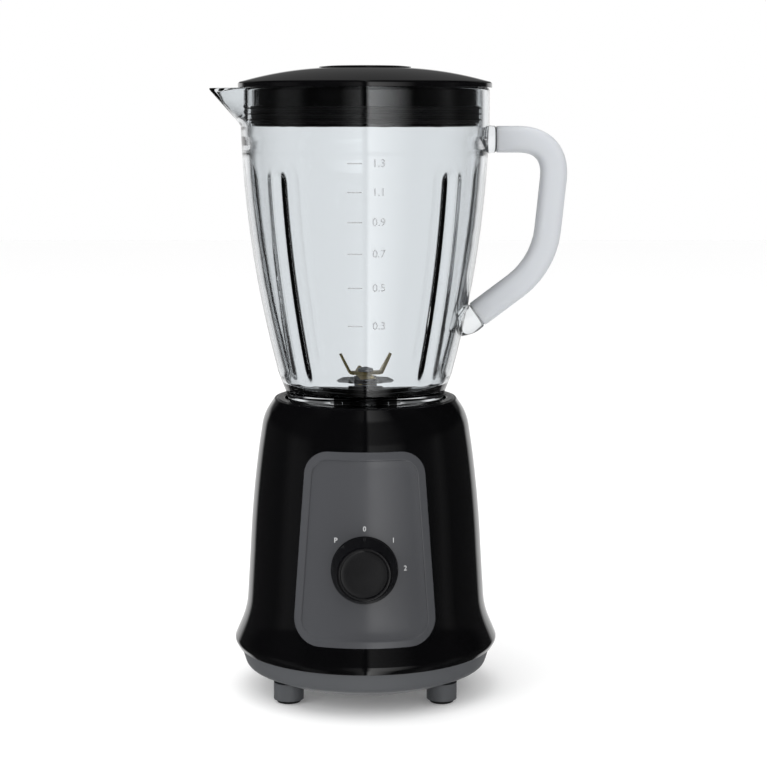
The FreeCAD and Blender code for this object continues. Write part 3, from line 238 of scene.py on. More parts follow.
def new_material(name, surface):
    """An empty material with its shader: returns it, its tree, the shader and Object coordinates."""
    material = bpy.data.materials.new(name)
    material.use_nodes = True
    nodes = material.node_tree
    nodes.nodes.clear()
    shader = add_node(nodes, "ShaderNodeBsdfPrincipled", surface)
    add_node(nodes, "ShaderNodeOutputMaterial", links={"Surface": shader.outputs["BSDF"]})
    place = add_node(nodes, "ShaderNodeTexCoord").outputs["Object"]
    return material, nodes, shader, place


def grain(nodes, shader, place, wave_mm, depth_mm, gloss):
    """Waves wave_mm apart and depth_mm deep, with roughness moving between the two gloss values."""
    noise = add_node(nodes, "ShaderNodeTexNoise", {"Scale": 1 / (wave_mm * MM), "Detail": 3.0},
                     {"Vector": place})
    bump = add_node(nodes, "ShaderNodeBump", {"Strength": 1.0, "Distance": depth_mm * MM},
                    {"Height": noise.outputs[0]})
    patch = add_node(nodes, "ShaderNodeTexNoise", {"Scale": 1 / (28 * MM), "Detail": 4.0},
                     {"Vector": place})
    rough = add_node(nodes, "ShaderNodeMapRange", {1: 0.2, 2: 0.8, 3: gloss[0], 4: gloss[1]},
                     {0: patch.outputs[0]})
    nodes.links.new(bump.outputs[0], shader.inputs["Normal"])
    nodes.links.new(rough.outputs[0], shader.inputs["Roughness"])
    return noise


def moulded(name, colour, wave_mm, depth_mm, gloss, **more):
    """A moulded plastic or rubber."""
    surface = {"Base Color": linear(colour), "IOR": 1.5}
    surface.update({key.replace("_", " ").title(): value for key, value in more.items()})
    material, nodes, shader, place = new_material(name, surface)
    grain(nodes, shader, place, wave_mm, depth_mm, gloss)
    return material


finish = {
    # High-gloss ABS from a polished mould: a hard mirror with the faint long waves of cooling plastic.
    "gloss_black_shell": moulded("polished_black_abs", "#070708", 9.0, 0.006, (0.02, 0.06)),
    # Spark-eroded polypropylene: deep black, softly shining, with a fine even grain.
    "satin_black_plastic": moulded("satin_black_polypropylene", "#08080a", 0.7, 0.006, (0.14, 0.22)),
    # The control plate is grey ABS with a fine satin grain that still mirrors a window softly.
    "grey_panel_plastic": moulded("satin_grey_abs", "#454649", 0.6, 0.004, (0.2, 0.28)),
    # The bowl underneath is the same ABS from a coarser mould: matt and even.
    "grey_pan_plastic": moulded("matt_grey_abs", "#515356", 0.8, 0.02, (0.48, 0.62)),
    # Nitrile feet: black, dull, faintly powdery.
    "black_rubber": moulded("black_nitrile_rubber", "#121213", 0.9, 0.03, (0.72, 0.85)),
    # Nylon switch and fan parts: waxy white with soft gloss.
    "white_plastic": moulded("natural_nylon", "#dcdad2", 0.9, 0.01, (0.38, 0.5)),
    # Silicone seals take a soft sheen and a little dust.
    "seal_silicone": moulded("black_silicone_rubber", "#161617", 1.0, 0.015, (0.42, 0.55)),
    # Brush carbon is pressed graphite: dark, dull, with a sparkle too fine to see as grains.
    "carbon": moulded("pressed_carbon", "#1d1d1f", 0.4, 0.02, (0.55, 0.7)),
}
print("made", len(finish), "plastic and rubber finishes")

# %% [markdown]
# Metals differ by how they were worked. A blade is brushed along its length, a bearing is turned, a
# stator is a stack of punched sheets, and a coil is lacquered wire wound side by side. Each pattern is
# stretched noise or a band whose spacing is the real one.

# %% Metals


def worked_metal(name, colour, gloss, spacing_mm, stretch, depth_mm):
    """A metal with fine lines spacing_mm apart, drawn out by stretch along X, Y and Z."""
    material, nodes, shader, place = new_material(name, {"Base Color": linear(colour),
                                                         "Metallic": 0.6})
    mapping = add_node(nodes, "ShaderNodeMapping", {"Scale": stretch}, {"Vector": place})
    grain(nodes, shader, mapping.outputs[0], spacing_mm, depth_mm, gloss)
    return material


def banded(name, colour, metallic, gloss, spacing_mm, depth_mm, dark):
    """Even bands up the height: a stack of sheets or a coil of wire."""
    material, nodes, shader, place = new_material(name, {"Metallic": metallic})
    split_place = add_node(nodes, "ShaderNodeSeparateXYZ", links={0: place})
    phase = add_node(nodes, "ShaderNodeMath", {"operation": "MULTIPLY",
                                               1: 2 * math.pi / (spacing_mm * MM)},
                     {0: split_place.outputs["Z"]})
    wave = add_node(nodes, "ShaderNodeMath", {"operation": "SINE"}, {0: phase.outputs[0]})
    level = add_node(nodes, "ShaderNodeMapRange", {1: -1.0, 2: 1.0}, {0: wave.outputs[0]})
    mix = add_node(nodes, "ShaderNodeMix", {"data_type": "RGBA", 6: linear(dark), 7: linear(colour)},
                   {0: level.outputs[0]})
    bump = add_node(nodes, "ShaderNodeBump", {"Strength": 1.0, "Distance": depth_mm * MM},
                    {"Height": level.outputs[0]})
    rough = add_node(nodes, "ShaderNodeMapRange", {3: gloss[0], 4: gloss[1]}, {0: level.outputs[0]})
    nodes.links.new(mix.outputs[2], shader.inputs["Base Color"])
    nodes.links.new(bump.outputs[0], shader.inputs["Normal"])
    nodes.links.new(rough.outputs[0], shader.inputs["Roughness"])
    return material


finish.update({
    # Hardened stainless steel, ground and brushed; its gold tint is a painted warm reflection, not the
    # steel's own colour.
    "blade_steel": worked_metal("brushed_steel_painted_warm_reflection", "#d9c68c", (0.3, 0.42), 0.5,
                                (1.0, 0.08, 1.0), 0.004),
    # Zinc-plated and turned steel: cool, fairly bright, with tool lines round it.
    "bright_steel": worked_metal("zinc_plated_steel", "#b4b6ba", (0.24, 0.36), 0.4, (1, 1, 4), 0.004),
    # Sintered bronze bushes: brown, dull, faintly porous.
    "bronze": worked_metal("sintered_bronze", "#9c7748", (0.38, 0.5), 0.5, (1, 1, 1), 0.012),
    # Punched silicon-steel sheets in a stack, a dark line at every joint.
    "lamination_steel": banded("stacked_silicon_steel", "#84868a", 0.9, (0.4, 0.55), 1.0, 0.05,
                               "#3a3b3e"),
    # Enamelled copper wire, wound side by side.
    "copper_wire": banded("enamelled_copper_wire", "#a5542a", 0.8, (0.25, 0.5), 1.2, 0.25, "#4a1f10"),
})
print("made", len(finish), "finishes with the metals")

# %% [markdown]
# The jug is pressed soda-lime glass. The press leaves faint ripples, the real wall bends the light, and
# both inner and outer walls are modelled, so the shader needs only the right IOR and clean surfaces.
# The handle is the same glass etched matt: light enters it, scatters and leaves softly, so it looks
# nearly white against a pale room.

# %% Glass
glass, nodes, shader, place = new_material("pressed_soda_lime_glass", {
    "Base Color": linear("#f6f9fb"), "Transmission Weight": 1.0, "IOR": 1.5,
    "Specular IOR Level": 0.3, "Roughness": 0.0})
ripple = add_node(nodes, "ShaderNodeTexNoise", {"Scale": 1 / (16 * MM), "Detail": 1.0},
                  {"Vector": place})
wavy = add_node(nodes, "ShaderNodeBump", {"Strength": 1.0, "Distance": 0.05 * MM},
                {"Height": ripple.outputs[0]})
nodes.links.new(wavy.outputs[0], shader.inputs["Normal"])
finish["clear_glass"] = glass

etched, nodes, shader, place = new_material("etched_glass", {
    "Base Color": linear("#dcdfe3"), "Transmission Weight": 0.3, "IOR": 1.5,
    "Subsurface Weight": 0.5, "Subsurface Radius": (0.006, 0.006, 0.0065), "Subsurface Scale": 1.0})
grain(nodes, shader, place, 0.5, 0.01, (0.42, 0.52))
finish["satin_glass"] = etched

ink, nodes, shader, place = new_material("pad_printed_ink", {"Base Color": linear("#d4d5d6")})
grain(nodes, shader, place, 0.5, 0.004, (0.4, 0.5))

painted, nodes, shader, place = new_material("painted_floor", {
    "Base Color": linear("#f4f4f4"), "Roughness": 0.9, "Emission Color": PALE,
    "Emission Strength": 0.12})
floor_mesh.materials.append(painted)

for name, node in frame["nodes"].items():
    for part in node.material_slots:
        part.material = finish[part.material.name.split(".")[0]]
print("every node of the frame has its finish")

# %% [markdown]
# Most of a blender is turned: the base, the lid and the jug are all round. Each is drawn as half a
# section, a list of (radius, height) corners in millimetres, and spun round the axis. A third number
# rounds a corner, because no moulded edge is sharp, and the rounding is what catches the light.

# %% Sections and turned pieces
RING_STEPS = 192
FULL_TURN = 2 * math.pi


def bow(start, end, radius, steps=24):
    """Points from start to end on a shallow arc of that radius, bulging to the right of its way."""
    a, b = Vector(start[:2]), Vector(end[:2])
    chord = b - a
    rise = radius - math.sqrt(radius ** 2 - (chord.length / 2) ** 2)
    out = Vector((chord.y, -chord.x)).normalized()
    line = []
    for step in range(steps + 1):
        share = step / steps
        off = math.sqrt(radius ** 2 - (chord.length * (share - 0.5)) ** 2) - radius + rise
        line.append(tuple(a + chord * share + out * off))
    return line


def walk(line, start, way, distance):
    """The point that far along the line from corner start, its direction, and the corners passed."""
    at, left, passed = start, distance, []
    while True:
        follow = (at + way) % len(line)
        step = Vector(line[follow][:2]) - Vector(line[at][:2])
        if step.length >= left:
            return Vector(line[at][:2]) + step.normalized() * left, step.normalized(), passed
        left -= step.length
        passed.append(follow)
        at = follow


def rounded(line):
    """The line with each corner that has a third number rounded to that radius."""
    curves, gone = {}, set()
    for at, corner in enumerate(line):
        if len(corner) < 3:
            continue
        here = Vector(corner[:2])
        before = (here - Vector(line[at - 1][:2])).normalized()
        after = (Vector(line[(at + 1) % len(line)][:2]) - here).normalized()
        turned_by = before.angle(after)
        reach = corner[2] * math.tan(turned_by / 2)
        first, back, passed_back = walk(line, at, -1, reach)
        last, ahead, passed_ahead = walk(line, at, 1, reach)
        pull = reach * 0.62
        steps = max(4, round(math.degrees(turned_by) / 7))
        curve = []
        for step in range(steps + 1):
            t = step / steps
            point = (first * (1 - t) ** 3 + (first - back * pull) * 3 * t * (1 - t) ** 2
                     + (last - ahead * pull) * 3 * t ** 2 * (1 - t) + last * t ** 3)
            curve.append(tuple(point))
        curves[at] = curve
        gone.update(passed_back + passed_ahead)
    result = []
    for at, corner in enumerate(line):
        if at in curves:
            result += curves[at]
        elif at not in gone:
            result.append(tuple(corner[:2]))
    return result


def finer(line, longest, closed=True):
    """The line with points added so that no stretch is longer than longest."""
    result = []
    for at, point in enumerate(line):
        result.append(point)
        if at == len(line) - 1 and not closed:
            break
        end = line[(at + 1) % len(line)]
        count = math.ceil(math.dist(point, end) / longest)
        for step in range(1, count):
            share = step / count
            result.append(tuple(p + (q - p) * share for p, q in zip(point, end)))
    return result


def new_piece(name, points, faces, material, body, slot_name, *nodes):
    """A smooth mesh piece, its points in metres, that rides on a body and may stand for nodes."""
    mesh = bpy.data.meshes.new(name)
    mesh.from_pydata(points, [], faces)
    mesh.validate()
    mesh.materials.append(material)
    piece = bpy.data.objects.new(name, mesh)
    bpy.context.scene.collection.objects.link(piece)
    point_outwards(mesh)
    settle(piece, body, slot_name, *nodes)
    return piece


def point_outwards(mesh):
    """Merged doubles, faces outwards, smooth shading and hard edges only where the turn is sharp."""
    work = bmesh.new()
    work.from_mesh(mesh)
    bmesh.ops.remove_doubles(work, verts=work.verts, dist=0.002 * MM)
    bmesh.ops.recalc_face_normals(work, faces=work.faces)
    for face in work.faces:
        face.smooth = True
    for edge in work.edges:
        if len(edge.link_faces) == 2:
            edge.smooth = edge.calc_face_angle(0) < math.radians(32)
    work.to_mesh(mesh)
    work.free()


def settle(piece, body, slot_name, *nodes):
    """The piece rides on its body and hides the nodes that it stands for; slot_name is not used."""
    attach(piece, body)
    if nodes:
        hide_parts(*nodes)


def skin(rows, joined=False):
    """Points and faces of a skin over rows of points, each a ring as long as the next or one point."""
    points, places, faces = [], [], []
    for row in rows:
        places.append(list(range(len(points), len(points) + len(row))))
        points += row
    longest = max(len(row) for row in rows)
    pairs = list(zip(places, places[1:])) + ([(places[-1], places[0])] if joined else [])
    for low, high in pairs:
        for step in range(longest):
            after = (step + 1) % longest
            corners = [low[step % len(low)], low[after % len(low)],
                       high[after % len(high)], high[step % len(high)]]
            face = [c for n, c in enumerate(corners) if c not in corners[:n]]
            if len(face) > 2:
                faces.append(face)
    return points, faces


def spun(section, azimuths=None, shape=None):
    """Points and faces of a section spun round Z. A section that meets the axis is closed there."""
    turns = azimuths or [FULL_TURN * step / RING_STEPS for step in range(RING_STEPS)]
    rows = []
    for radius, height in section:
        row = []
        for angle in turns if radius > 1e-6 else turns[:1]:
            r, z = shape(radius, height, angle) if shape else (radius, height)
            row.append((r * math.cos(angle) * MM, r * math.sin(angle) * MM, z * MM))
        rows.append(row)
    return skin(rows, joined=section[0][0] > 1e-6)


def top_of(node):
    """Height of a node's highest point in millimetres."""
    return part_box(node)[1].z / MM


def bottom_of(node):
    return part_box(node)[0].z / MM


def reach_of(node):
    """A round node's largest radius in millimetres."""
    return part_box(node)[1].x / MM


print("a rounded square section has", len(rounded([(1, 0, 1), (9, 0, 1), (9, 9, 1), (1, 9, 1)])), "points")

# %% [markdown]
# The motor housing is one tall moulded shell: a small round shoulder, a side that swells very slightly,
# and a foot that flares out over the pan. The swell matters more than it looks, because a straight cone
# would mirror the tall window as a ruled stripe. It is spun with its inner wall, so it is a real shell.

# %% Motor housing
HOUSING_WALL = 2.8
housing_top = top_of("upper_housing")
housing_bottom = bottom_of("upper_housing")
collar_r = reach_of("jug_seat")
collar_top = top_of("jug_seat")


def housing_side(inset):
    """The side from the top rim down to the widest ring, moved inwards by inset."""
    upper, lower = (61.2 - inset, 143.7), (66.8 - inset, 84.0)
    return ([(collar_r + 1.2 - inset, collar_top - 0.3 - inset, 0.8), (58.5 - inset, 161.0, 26.0 - inset)]
            + bow(lower, upper, 670.0)[::-1]
            + [(69.1 - inset, 47.0, 45.0), (76.4 - inset, 29.8, 3.5)])


opening = collar_r - 1.8
housing_section = rounded(
    [(opening, housing_top), (collar_r + 0.1, housing_top), (collar_r + 0.1, collar_top - 0.3, 0.2)]
    + housing_side(0) + [(74.4, housing_bottom, 0.5), (74.4 - HOUSING_WALL, housing_bottom, 0.5)]
    + housing_side(HOUSING_WALL)[1:][::-1] + [(opening, housing_top - HOUSING_WALL)])
new_piece("housing_shell", *spun(finer(housing_section, 5.0)), finish["gloss_black_shell"], "root",
          "gloss_black_shell", "upper_housing")

side_line = sorted((z, r) for r, z in rounded([(opening, housing_top, 0.4)] + housing_side(0)
                                              + [(74.4, housing_bottom)]) if r > opening + 0.5)


def housing_radius(height):
    """Radius of the housing's outer side at a height, both in millimetres."""
    for (low_z, low_r), (high_z, high_r) in zip(side_line, side_line[1:]):
        if low_z <= height <= high_z:
            return low_r + (high_r - low_r) * (height - low_z) / max(high_z - low_z, 1e-6)
    return side_line[0][1]


print("housing radius at mid height:", round(housing_radius(100.0), 1), "mm")

# %% [markdown]
# The control plate is wrapped round the front. It has a broad sloped border and a face that lies a
# little lower inside it, so the border draws a light line on the side that faces a lamp. It is built
# from rings: the same rounded outline drawn smaller and smaller, each ring lifted off the housing.

# %% Control plate
PLATE_BORDER = [(0.0, 0.3), (0.15, 0.6), (0.5, 0.85), (1.0, 1.0), (3.5, 1.75), (3.9, 1.78),
                (4.2, 1.65), (4.7, 1.15), (5.1, 1.05), (9.0, 1.05), (14.0, 1.05), (19.0, 1.05)]
PLATE_FACE = PLATE_BORDER[-1][1]
PLATE_SUNK = -0.6
PLATE_HALF_BOTTOM, PLATE_HALF_TOP = 40.4, 32.6
plate_bottom, plate_top = bottom_of("control_panel"), top_of("control_panel")


def on_front(x, height, lift):
    """A place on the front of the housing, lifted off it, in metres."""
    radius = housing_radius(height) + lift
    return (x * MM, -math.sqrt(radius ** 2 - x ** 2) * MM, height * MM)


def plate_outline(inset):
    """The plate's outline as (x, height), drawn smaller by inset, always with as many points."""
    lean = (PLATE_HALF_BOTTOM - PLATE_HALF_TOP) / (plate_top - plate_bottom)
    low, high = plate_bottom + inset, plate_top - inset
    wide = PLATE_HALF_BOTTOM - inset * (1 + lean)
    narrow = PLATE_HALF_TOP - inset * (1 - lean)
    radius = max(14.0 - inset, 2.0)
    corners = [Vector(c) for c in ((-wide, low), (wide, low), (narrow, high), (-narrow, high))]
    line = []
    for at, here in enumerate(corners):
        following, beyond = corners[(at + 1) % 4], corners[(at + 2) % 4]
        before = (here - corners[at - 1]).normalized()
        after = (following - here).normalized()
        reach = radius * math.tan(before.angle(after) / 2)
        first, last = here - before * reach, here + after * reach
        for step in range(15):
            t, pull = step / 14, reach * 0.56
            line.append(first * (1 - t) ** 3 + (first + before * pull) * 3 * t * (1 - t) ** 2
                        + (last - after * pull) * 3 * t ** 2 * (1 - t) + last * t ** 3)
        onward = (beyond - following).normalized()
        end = following - after * radius * math.tan(after.angle(onward) / 2)
        line += [last + (end - last) * step / 16 for step in range(1, 16)]
    return line


def plate_ring(inset, share, lift):
    """One ring of the plate, its outline shrunk to a share of itself about the middle."""
    middle = (plate_bottom + plate_top) / 2
    return [on_front(p.x * share, middle + (p.y - middle) * share, lift)
            for p in plate_outline(inset)]


shares = [0.8, 0.6, 0.4, 0.2]
middle_height = (plate_bottom + plate_top) / 2
rows = [[on_front(0, middle_height, PLATE_FACE)]]
rows += [plate_ring(PLATE_BORDER[-1][0], share, PLATE_FACE) for share in shares[::-1]]
rows += [plate_ring(inset, 1.0, lift) for inset, lift in PLATE_BORDER[::-1]]
rows += [plate_ring(0.0, share, PLATE_SUNK) for share in [1.0] + shares]
rows += [[on_front(0, middle_height, PLATE_SUNK)]]
plate = new_piece("control_plate", *skin(rows), finish["grey_panel_plastic"], "root",
                  "grey_panel_plastic", "control_panel")
print("plate has", len(plate.data.polygons), "faces")

# %% [markdown]
# The numbers round the knob are pad-printed: a film of pale ink on the curved plate. Text is drawn flat
# by Blender's own font, made a thin mesh, and each of its points is then moved onto the plate. The
# places come from the knob's own joint: one mark at every stop of the switch.

# %% Printed marks
MARKS = (("P", -45), ("0", 0), ("1", 45), ("2", 90))
MARK_RING = 22.4
MARK_SIZE = 3.9
INK_FILM = 0.06
knob_joint = joints["knob_turn"]
knob_place = Vector(knob_joint["pos_m"])
knob_out = -Vector(knob_joint["axis"]).normalized()


def letters(text, size, thick):
    """Flat lettering centred on the origin: a mesh of that size and thickness in millimetres."""
    curve = bpy.data.curves.new("letters", "FONT")
    curve.body = text
    curve.size = size
    curve.extrude = thick / 2
    curve.align_x = "CENTER"
    curve.align_y = "CENTER"
    curve.resolution_u = 4
    carrier = bpy.data.objects.new("letters", curve)
    bpy.context.scene.collection.objects.link(carrier)
    ready = carrier.evaluated_get(bpy.context.evaluated_depsgraph_get())
    mesh = bpy.data.meshes.new_from_object(ready)
    points = [v.co.copy() for v in mesh.vertices]
    faces = [tuple(f.vertices) for f in mesh.polygons]
    bpy.data.objects.remove(carrier)
    return points, faces


marks, mark_faces = [], []
for text, degrees in MARKS:
    flat, faces = letters(text, MARK_SIZE, INK_FILM)
    across = MARK_RING * math.sin(math.radians(degrees))
    up = knob_place.z / MM + MARK_RING * math.cos(math.radians(degrees))
    mark_faces += [tuple(len(marks) + corner for corner in face) for face in faces]
    marks += [on_front(p.x + across, p.y + up, PLATE_FACE + INK_FILM / 2 + p.z) for p in flat]
new_piece("printed_marks", marks, mark_faces, ink, "root", "white_plastic")
print("printed", len(MARKS), "marks round the knob")

# %% [markdown]
# The knob is a tapered cap with a fine bead round its top and a shallow dish inside the bead. The bead
# is under a millimetre wide, but it holds a bright line, so it is modelled and not painted.

# %% Knob
KNOB_BASE = 0.8
knob_r = 18.3
KNOB_SECTION = [(0, 15.7), (12.7, 15.7, 0.5), (13.2, 16.3, 0.3), (14.3, 16.3, 0.5), (14.9, 15.4, 0.8),
                (knob_r, 3.8, 1.0), (knob_r, KNOB_BASE, 0.3), (13.3, KNOB_BASE, 0.3), (13.3, 6.3, 0.5),
                (0, 6.3)]
knob_turned = Vector((0, 0, 1)).rotation_difference(knob_out).to_matrix().to_4x4()
points, faces = spun(finer(rounded(KNOB_SECTION), 3.0, closed=False))
points = [Matrix.Translation(knob_place) @ knob_turned @ Vector(p) for p in points]
new_piece("knob_cap", points, faces, finish["satin_black_plastic"], "knob", "satin_black_plastic",
          "control_knob")
# The seat fills the gap between the round knob and the curved plate. It is satin black rather than the
# plate's grey, so its rim paints the shadow round the knob's base.
seat = [(0, -1.5), (knob_r + 0.2, -1.5), (knob_r + 0.2, 0.4, 0.2), (0, 0.4)]
points, faces = spun(rounded(seat))
points = [Matrix.Translation(knob_place) @ knob_turned @ Vector(p) for p in points]
new_piece("knob_seat_painted_shadow", points, faces, finish["satin_black_plastic"], "root", "satin_black_plastic")
print("knob turned, its face", round(-knob_place.y / MM, 1), "mm in front of the axis")

# %% [markdown]
# The jug is pressed glass, so inner and outer walls both matter: what the eye sees is light bent twice.
# One closed section holds foot, floor, wall, ledge and rim. While it is spun, a shape function presses
# the six ribs into both walls and draws the spout out of the rim. The columns of the mesh stand closer
# together at the ribs and the spout, where the surface turns quickly.

# %% Glass jug
RIBS = [math.radians(degrees) for degrees in (-45, 0, 45, 135, 180, 225)]
RIB_TOP, RIB_FOOT, RIB_FADE = 303.0, 184.0, 10.0
RIB_HALF = 7.0
RIB_INWARDS, GROOVE = 2.0, 0.8
SPOUT_TURN, SPOUT_HALF = math.pi, math.radians(20.5)
jug_low, jug_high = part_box("glass_jug")
foot_z, rim_z = jug_low.z / MM, jug_high.z / MM
rim_r = jug_high.y / MM
spout_reach = -jug_low.x / MM - rim_r
SPOUT_ROOT = rim_z - 20.8
LEDGE_Z = 317.0
WALL = 4.7
FLOOR_TOP = bottom_of("jug_gasket")
FLOOR_UNDER = top_of("hub_nut")
HUB_HOLE = 13.4

jug_section = rounded(
    [(44.8, foot_z, 1.6), (44.8, 171.5, 9.0), (49.8, 184.5, 9.0)]
    + bow((49.8, 184.5), (rim_r, 325.0), 620.0, 60)[1:]
    + [(rim_r, rim_z, 1.7), (66.0, rim_z, 1.5), (66.0, LEDGE_Z + 2.5, 3.0), (rim_r - WALL - 0.8, 312.2, 4.0)]
    + bow((45.4, 186.0), (rim_r - WALL - 0.6, 309.0), 615.0, 54)[::-1]
    + [(43.6, FLOOR_TOP, 9.0), (HUB_HOLE, FLOOR_TOP), (HUB_HOLE, FLOOR_UNDER),
       (38.5, FLOOR_UNDER, 3.0), (39.0, foot_z, 1.6)])


def smooth(share):
    share = min(max(share, 0.0), 1.0)
    return share * share * (3 - 2 * share)


def apart(angle, other):
    """The smaller angle between two directions."""
    return abs((angle - other + math.pi) % FULL_TURN - math.pi)


def pressed(radius, height, angle):
    """Moves a point of the plain jug to where the ribs and the spout put it."""
    inner = radius < jug_radius(height) - WALL * 0.6
    if RIB_FOOT - RIB_FADE < height < RIB_TOP + 1 and radius > 40:
        across = min(apart(angle, rib) for rib in RIBS) * radius
        over = max(height - (RIB_TOP - RIB_HALF), 0)
        share = math.hypot(across, over) / RIB_HALF
        depth = RIB_INWARDS * smooth(1 - share) if inner else GROOVE * smooth((1 - share) * 1.6)
        radius -= depth * smooth((height - RIB_FOOT + RIB_FADE * 0.4) / RIB_FADE)
    off = math.hypot(apart(angle, SPOUT_TURN) / SPOUT_HALF, 0.05)
    if height > SPOUT_ROOT and off < 1:
        raised = (height - SPOUT_ROOT - (1.5 if inner else 0)) / (rim_z - SPOUT_ROOT)
        radius += spout_reach * max(raised, 0) * (1 - off) ** 1.35 * 1.07
    return radius, height


jug_side = sorted((z, r) for r, z in jug_section if r > 44 and z > foot_z)


def jug_radius(height):
    """The outer radius of the plain jug at a height."""
    near = [r for z, r in jug_side if abs(z - height) < 3.0]
    return max(near) if near else 44.8


def jug_columns():
    """Directions of the mesh's columns: close at the ribs and the spout, wide elsewhere."""
    fine, turns, angle = math.radians(0.62), [], 0.0
    while angle < FULL_TURN - fine / 2:
        turns.append(angle)
        rib = min(apart(angle, other) for other in RIBS) < math.radians(7.5)
        spout = apart(angle, SPOUT_TURN) < SPOUT_HALF * 1.05
        angle += fine if rib or spout else fine * 3.2
    return turns


points, faces = spun(finer(jug_section, 2.4), jug_columns(), pressed)
jug = new_piece("jug_glass", points, faces, glass, "jug", "clear_glass", "glass_jug")
print("jug has", len(jug.data.polygons), "faces")

# %% [markdown]
# The scale on the front of the jug stands out of the glass by a quarter of a millimetre. Each mark's
# height follows from the jug's own inside: the section is cut into thin discs, and the volume is added
# up until it reaches the mark. That way the numbers would be right if the jug were really filled.

# %% Measuring scale
SCALE_LITRES = (0.3, 0.5, 0.7, 0.9, 1.1, 1.3)
EMBOSSED = 0.25
inner_side = sorted((z, r) for r, z in jug_section
                    if FLOOR_TOP <= z < LEDGE_Z and r < rim_r - WALL + 1 and r < jug_radius(z) - 2)


def height_of(litres):
    """The height in millimetres that so much liquid reaches in the jug."""
    volume = 0.0
    for (low_z, low_r), (high_z, high_r) in zip(inner_side, inner_side[1:]):
        disc = math.pi * ((low_r + high_r) / 2) ** 2 * (high_z - low_z) / 1e6
        if volume + disc >= litres:
            return low_z + (high_z - low_z) * (litres - volume) / disc
        volume += disc
    return inner_side[-1][0]


scale_points, scale_faces = [], []
for litres in SCALE_LITRES:
    height = height_of(litres)
    flat, faces = letters(f"{litres:.1f}", 6.0, EMBOSSED)
    bar = [(x, y, z) for x in (-9.0, -1.0) for y in (-0.3, 0.3) for z in (-EMBOSSED / 2, EMBOSSED / 2)]
    bar_faces = [(0, 1, 3, 2), (4, 6, 7, 5), (0, 4, 5, 1), (2, 3, 7, 6), (0, 2, 6, 4), (1, 5, 7, 3)]
    placed = [(p.x + 8.0, p.y + height, p.z) for p in flat] + [(x, y + height, z) for x, y, z in bar]
    shift = len(scale_points)
    scale_faces += [tuple(shift + corner for corner in face) for face in faces]
    scale_faces += [tuple(shift + len(flat) + corner for corner in face) for face in bar_faces]
    for x, z, lift in placed:
        radius = jug_radius(z) + 0.05 + EMBOSSED / 2 + lift
        scale_points.append((x * MM, -math.sqrt(radius ** 2 - x ** 2) * MM, z * MM))
new_piece("jug_scale", scale_points, scale_faces, etched, "jug", "satin_glass")
print("top mark at", round(height_of(SCALE_LITRES[-1]), 1), "mm")

# %% [markdown]
# The handle is one bar of a soft square section, swept along a line. The two stubs are part of the
# pressed jug, so they are joined to its wall, and the etched loop between them is a piece of its own.
# The sweep keeps the bar's broad side across the object, which is how a hand meets it.

# %% Handle and stubs
BAR_HALF_WIDE, BAR_HALF_THICK = 8.5, 7.5
BAR_STEPS = 48
BAR_SQUARENESS = 0.62   # 1 would give an ellipse, 0 a rectangle
END_STEPS, END_ROUND, END_SHRINK = 6, 1.2, 0.16
JOINT_GAP = 0.02
STUB_FLARE = 1.4
HANDLE_TOP_Z = 317.5
HANDLE_START_X, HANDLE_END = 74.0, (64.0, 217.8)
HANDLE_BEND, HANDLE_ELBOW = (109.1, HANDLE_TOP_Z, 20.0), (101.9, 246.4, 45.0)
TOP_STUB_ROOT = (66.6, HANDLE_TOP_Z)
LOW_STUB_BEND, LOW_STUB_ROOT = (59.6, 214.5, 6.0), (53.2, 213.4)


def swept(line, flare=0.0):
    """A bar of the handle's section along a line of (x, z) that widens by flare towards its end."""
    path = [Vector((x, 0, z)) for x, z in line]
    stations = []
    for at, here in enumerate(path):
        way = (path[min(at + 1, len(path) - 1)] - path[max(at - 1, 0)]).normalized()
        stations.append((here, way, 1.0))
    first, last = stations[0], stations[-1]
    turns = [math.radians(90 * step / END_STEPS) for step in range(END_STEPS)]
    low, high = [], []
    for a in turns:
        inwards, size = END_ROUND * (1 - math.cos(a)), 1 - END_SHRINK * (1 - math.sin(a))
        low.append((first[0] + first[1] * inwards, first[1], size))
        high.insert(0, (last[0] - last[1] * inwards, last[1], size))
    clear = END_ROUND + 0.1
    between = [s for s in stations
               if (s[0] - first[0]).length > clear and (s[0] - last[0]).length > clear]
    stations = low + between + high
    rows = []
    rows.append([tuple(first[0] * MM)])
    for at, (here, way, size) in enumerate(stations):
        grow = flare * (at / len(stations)) ** 2
        side = Vector((-way.z, 0, way.x))
        row = []
        for step in range(BAR_STEPS):
            angle = FULL_TURN * step / BAR_STEPS
            c, s = math.cos(angle), math.sin(angle)
            y = math.copysign(abs(c) ** BAR_SQUARENESS, c) * (BAR_HALF_WIDE + grow) * size
            out = math.copysign(abs(s) ** BAR_SQUARENESS, s) * (BAR_HALF_THICK + grow) * size
            row.append(tuple((here + Vector((0, y, 0)) + side * out) * MM))
        rows.append(row)
    rows.append([tuple(last[0] * MM)])
    return skin(rows)


handle_line = rounded([(HANDLE_START_X, HANDLE_TOP_Z), HANDLE_BEND, HANDLE_ELBOW, HANDLE_END])
handle_line = finer(handle_line, 2.0, closed=False)
new_piece("handle_loop", *swept(handle_line), etched, "jug", "satin_glass", "jug_handle")

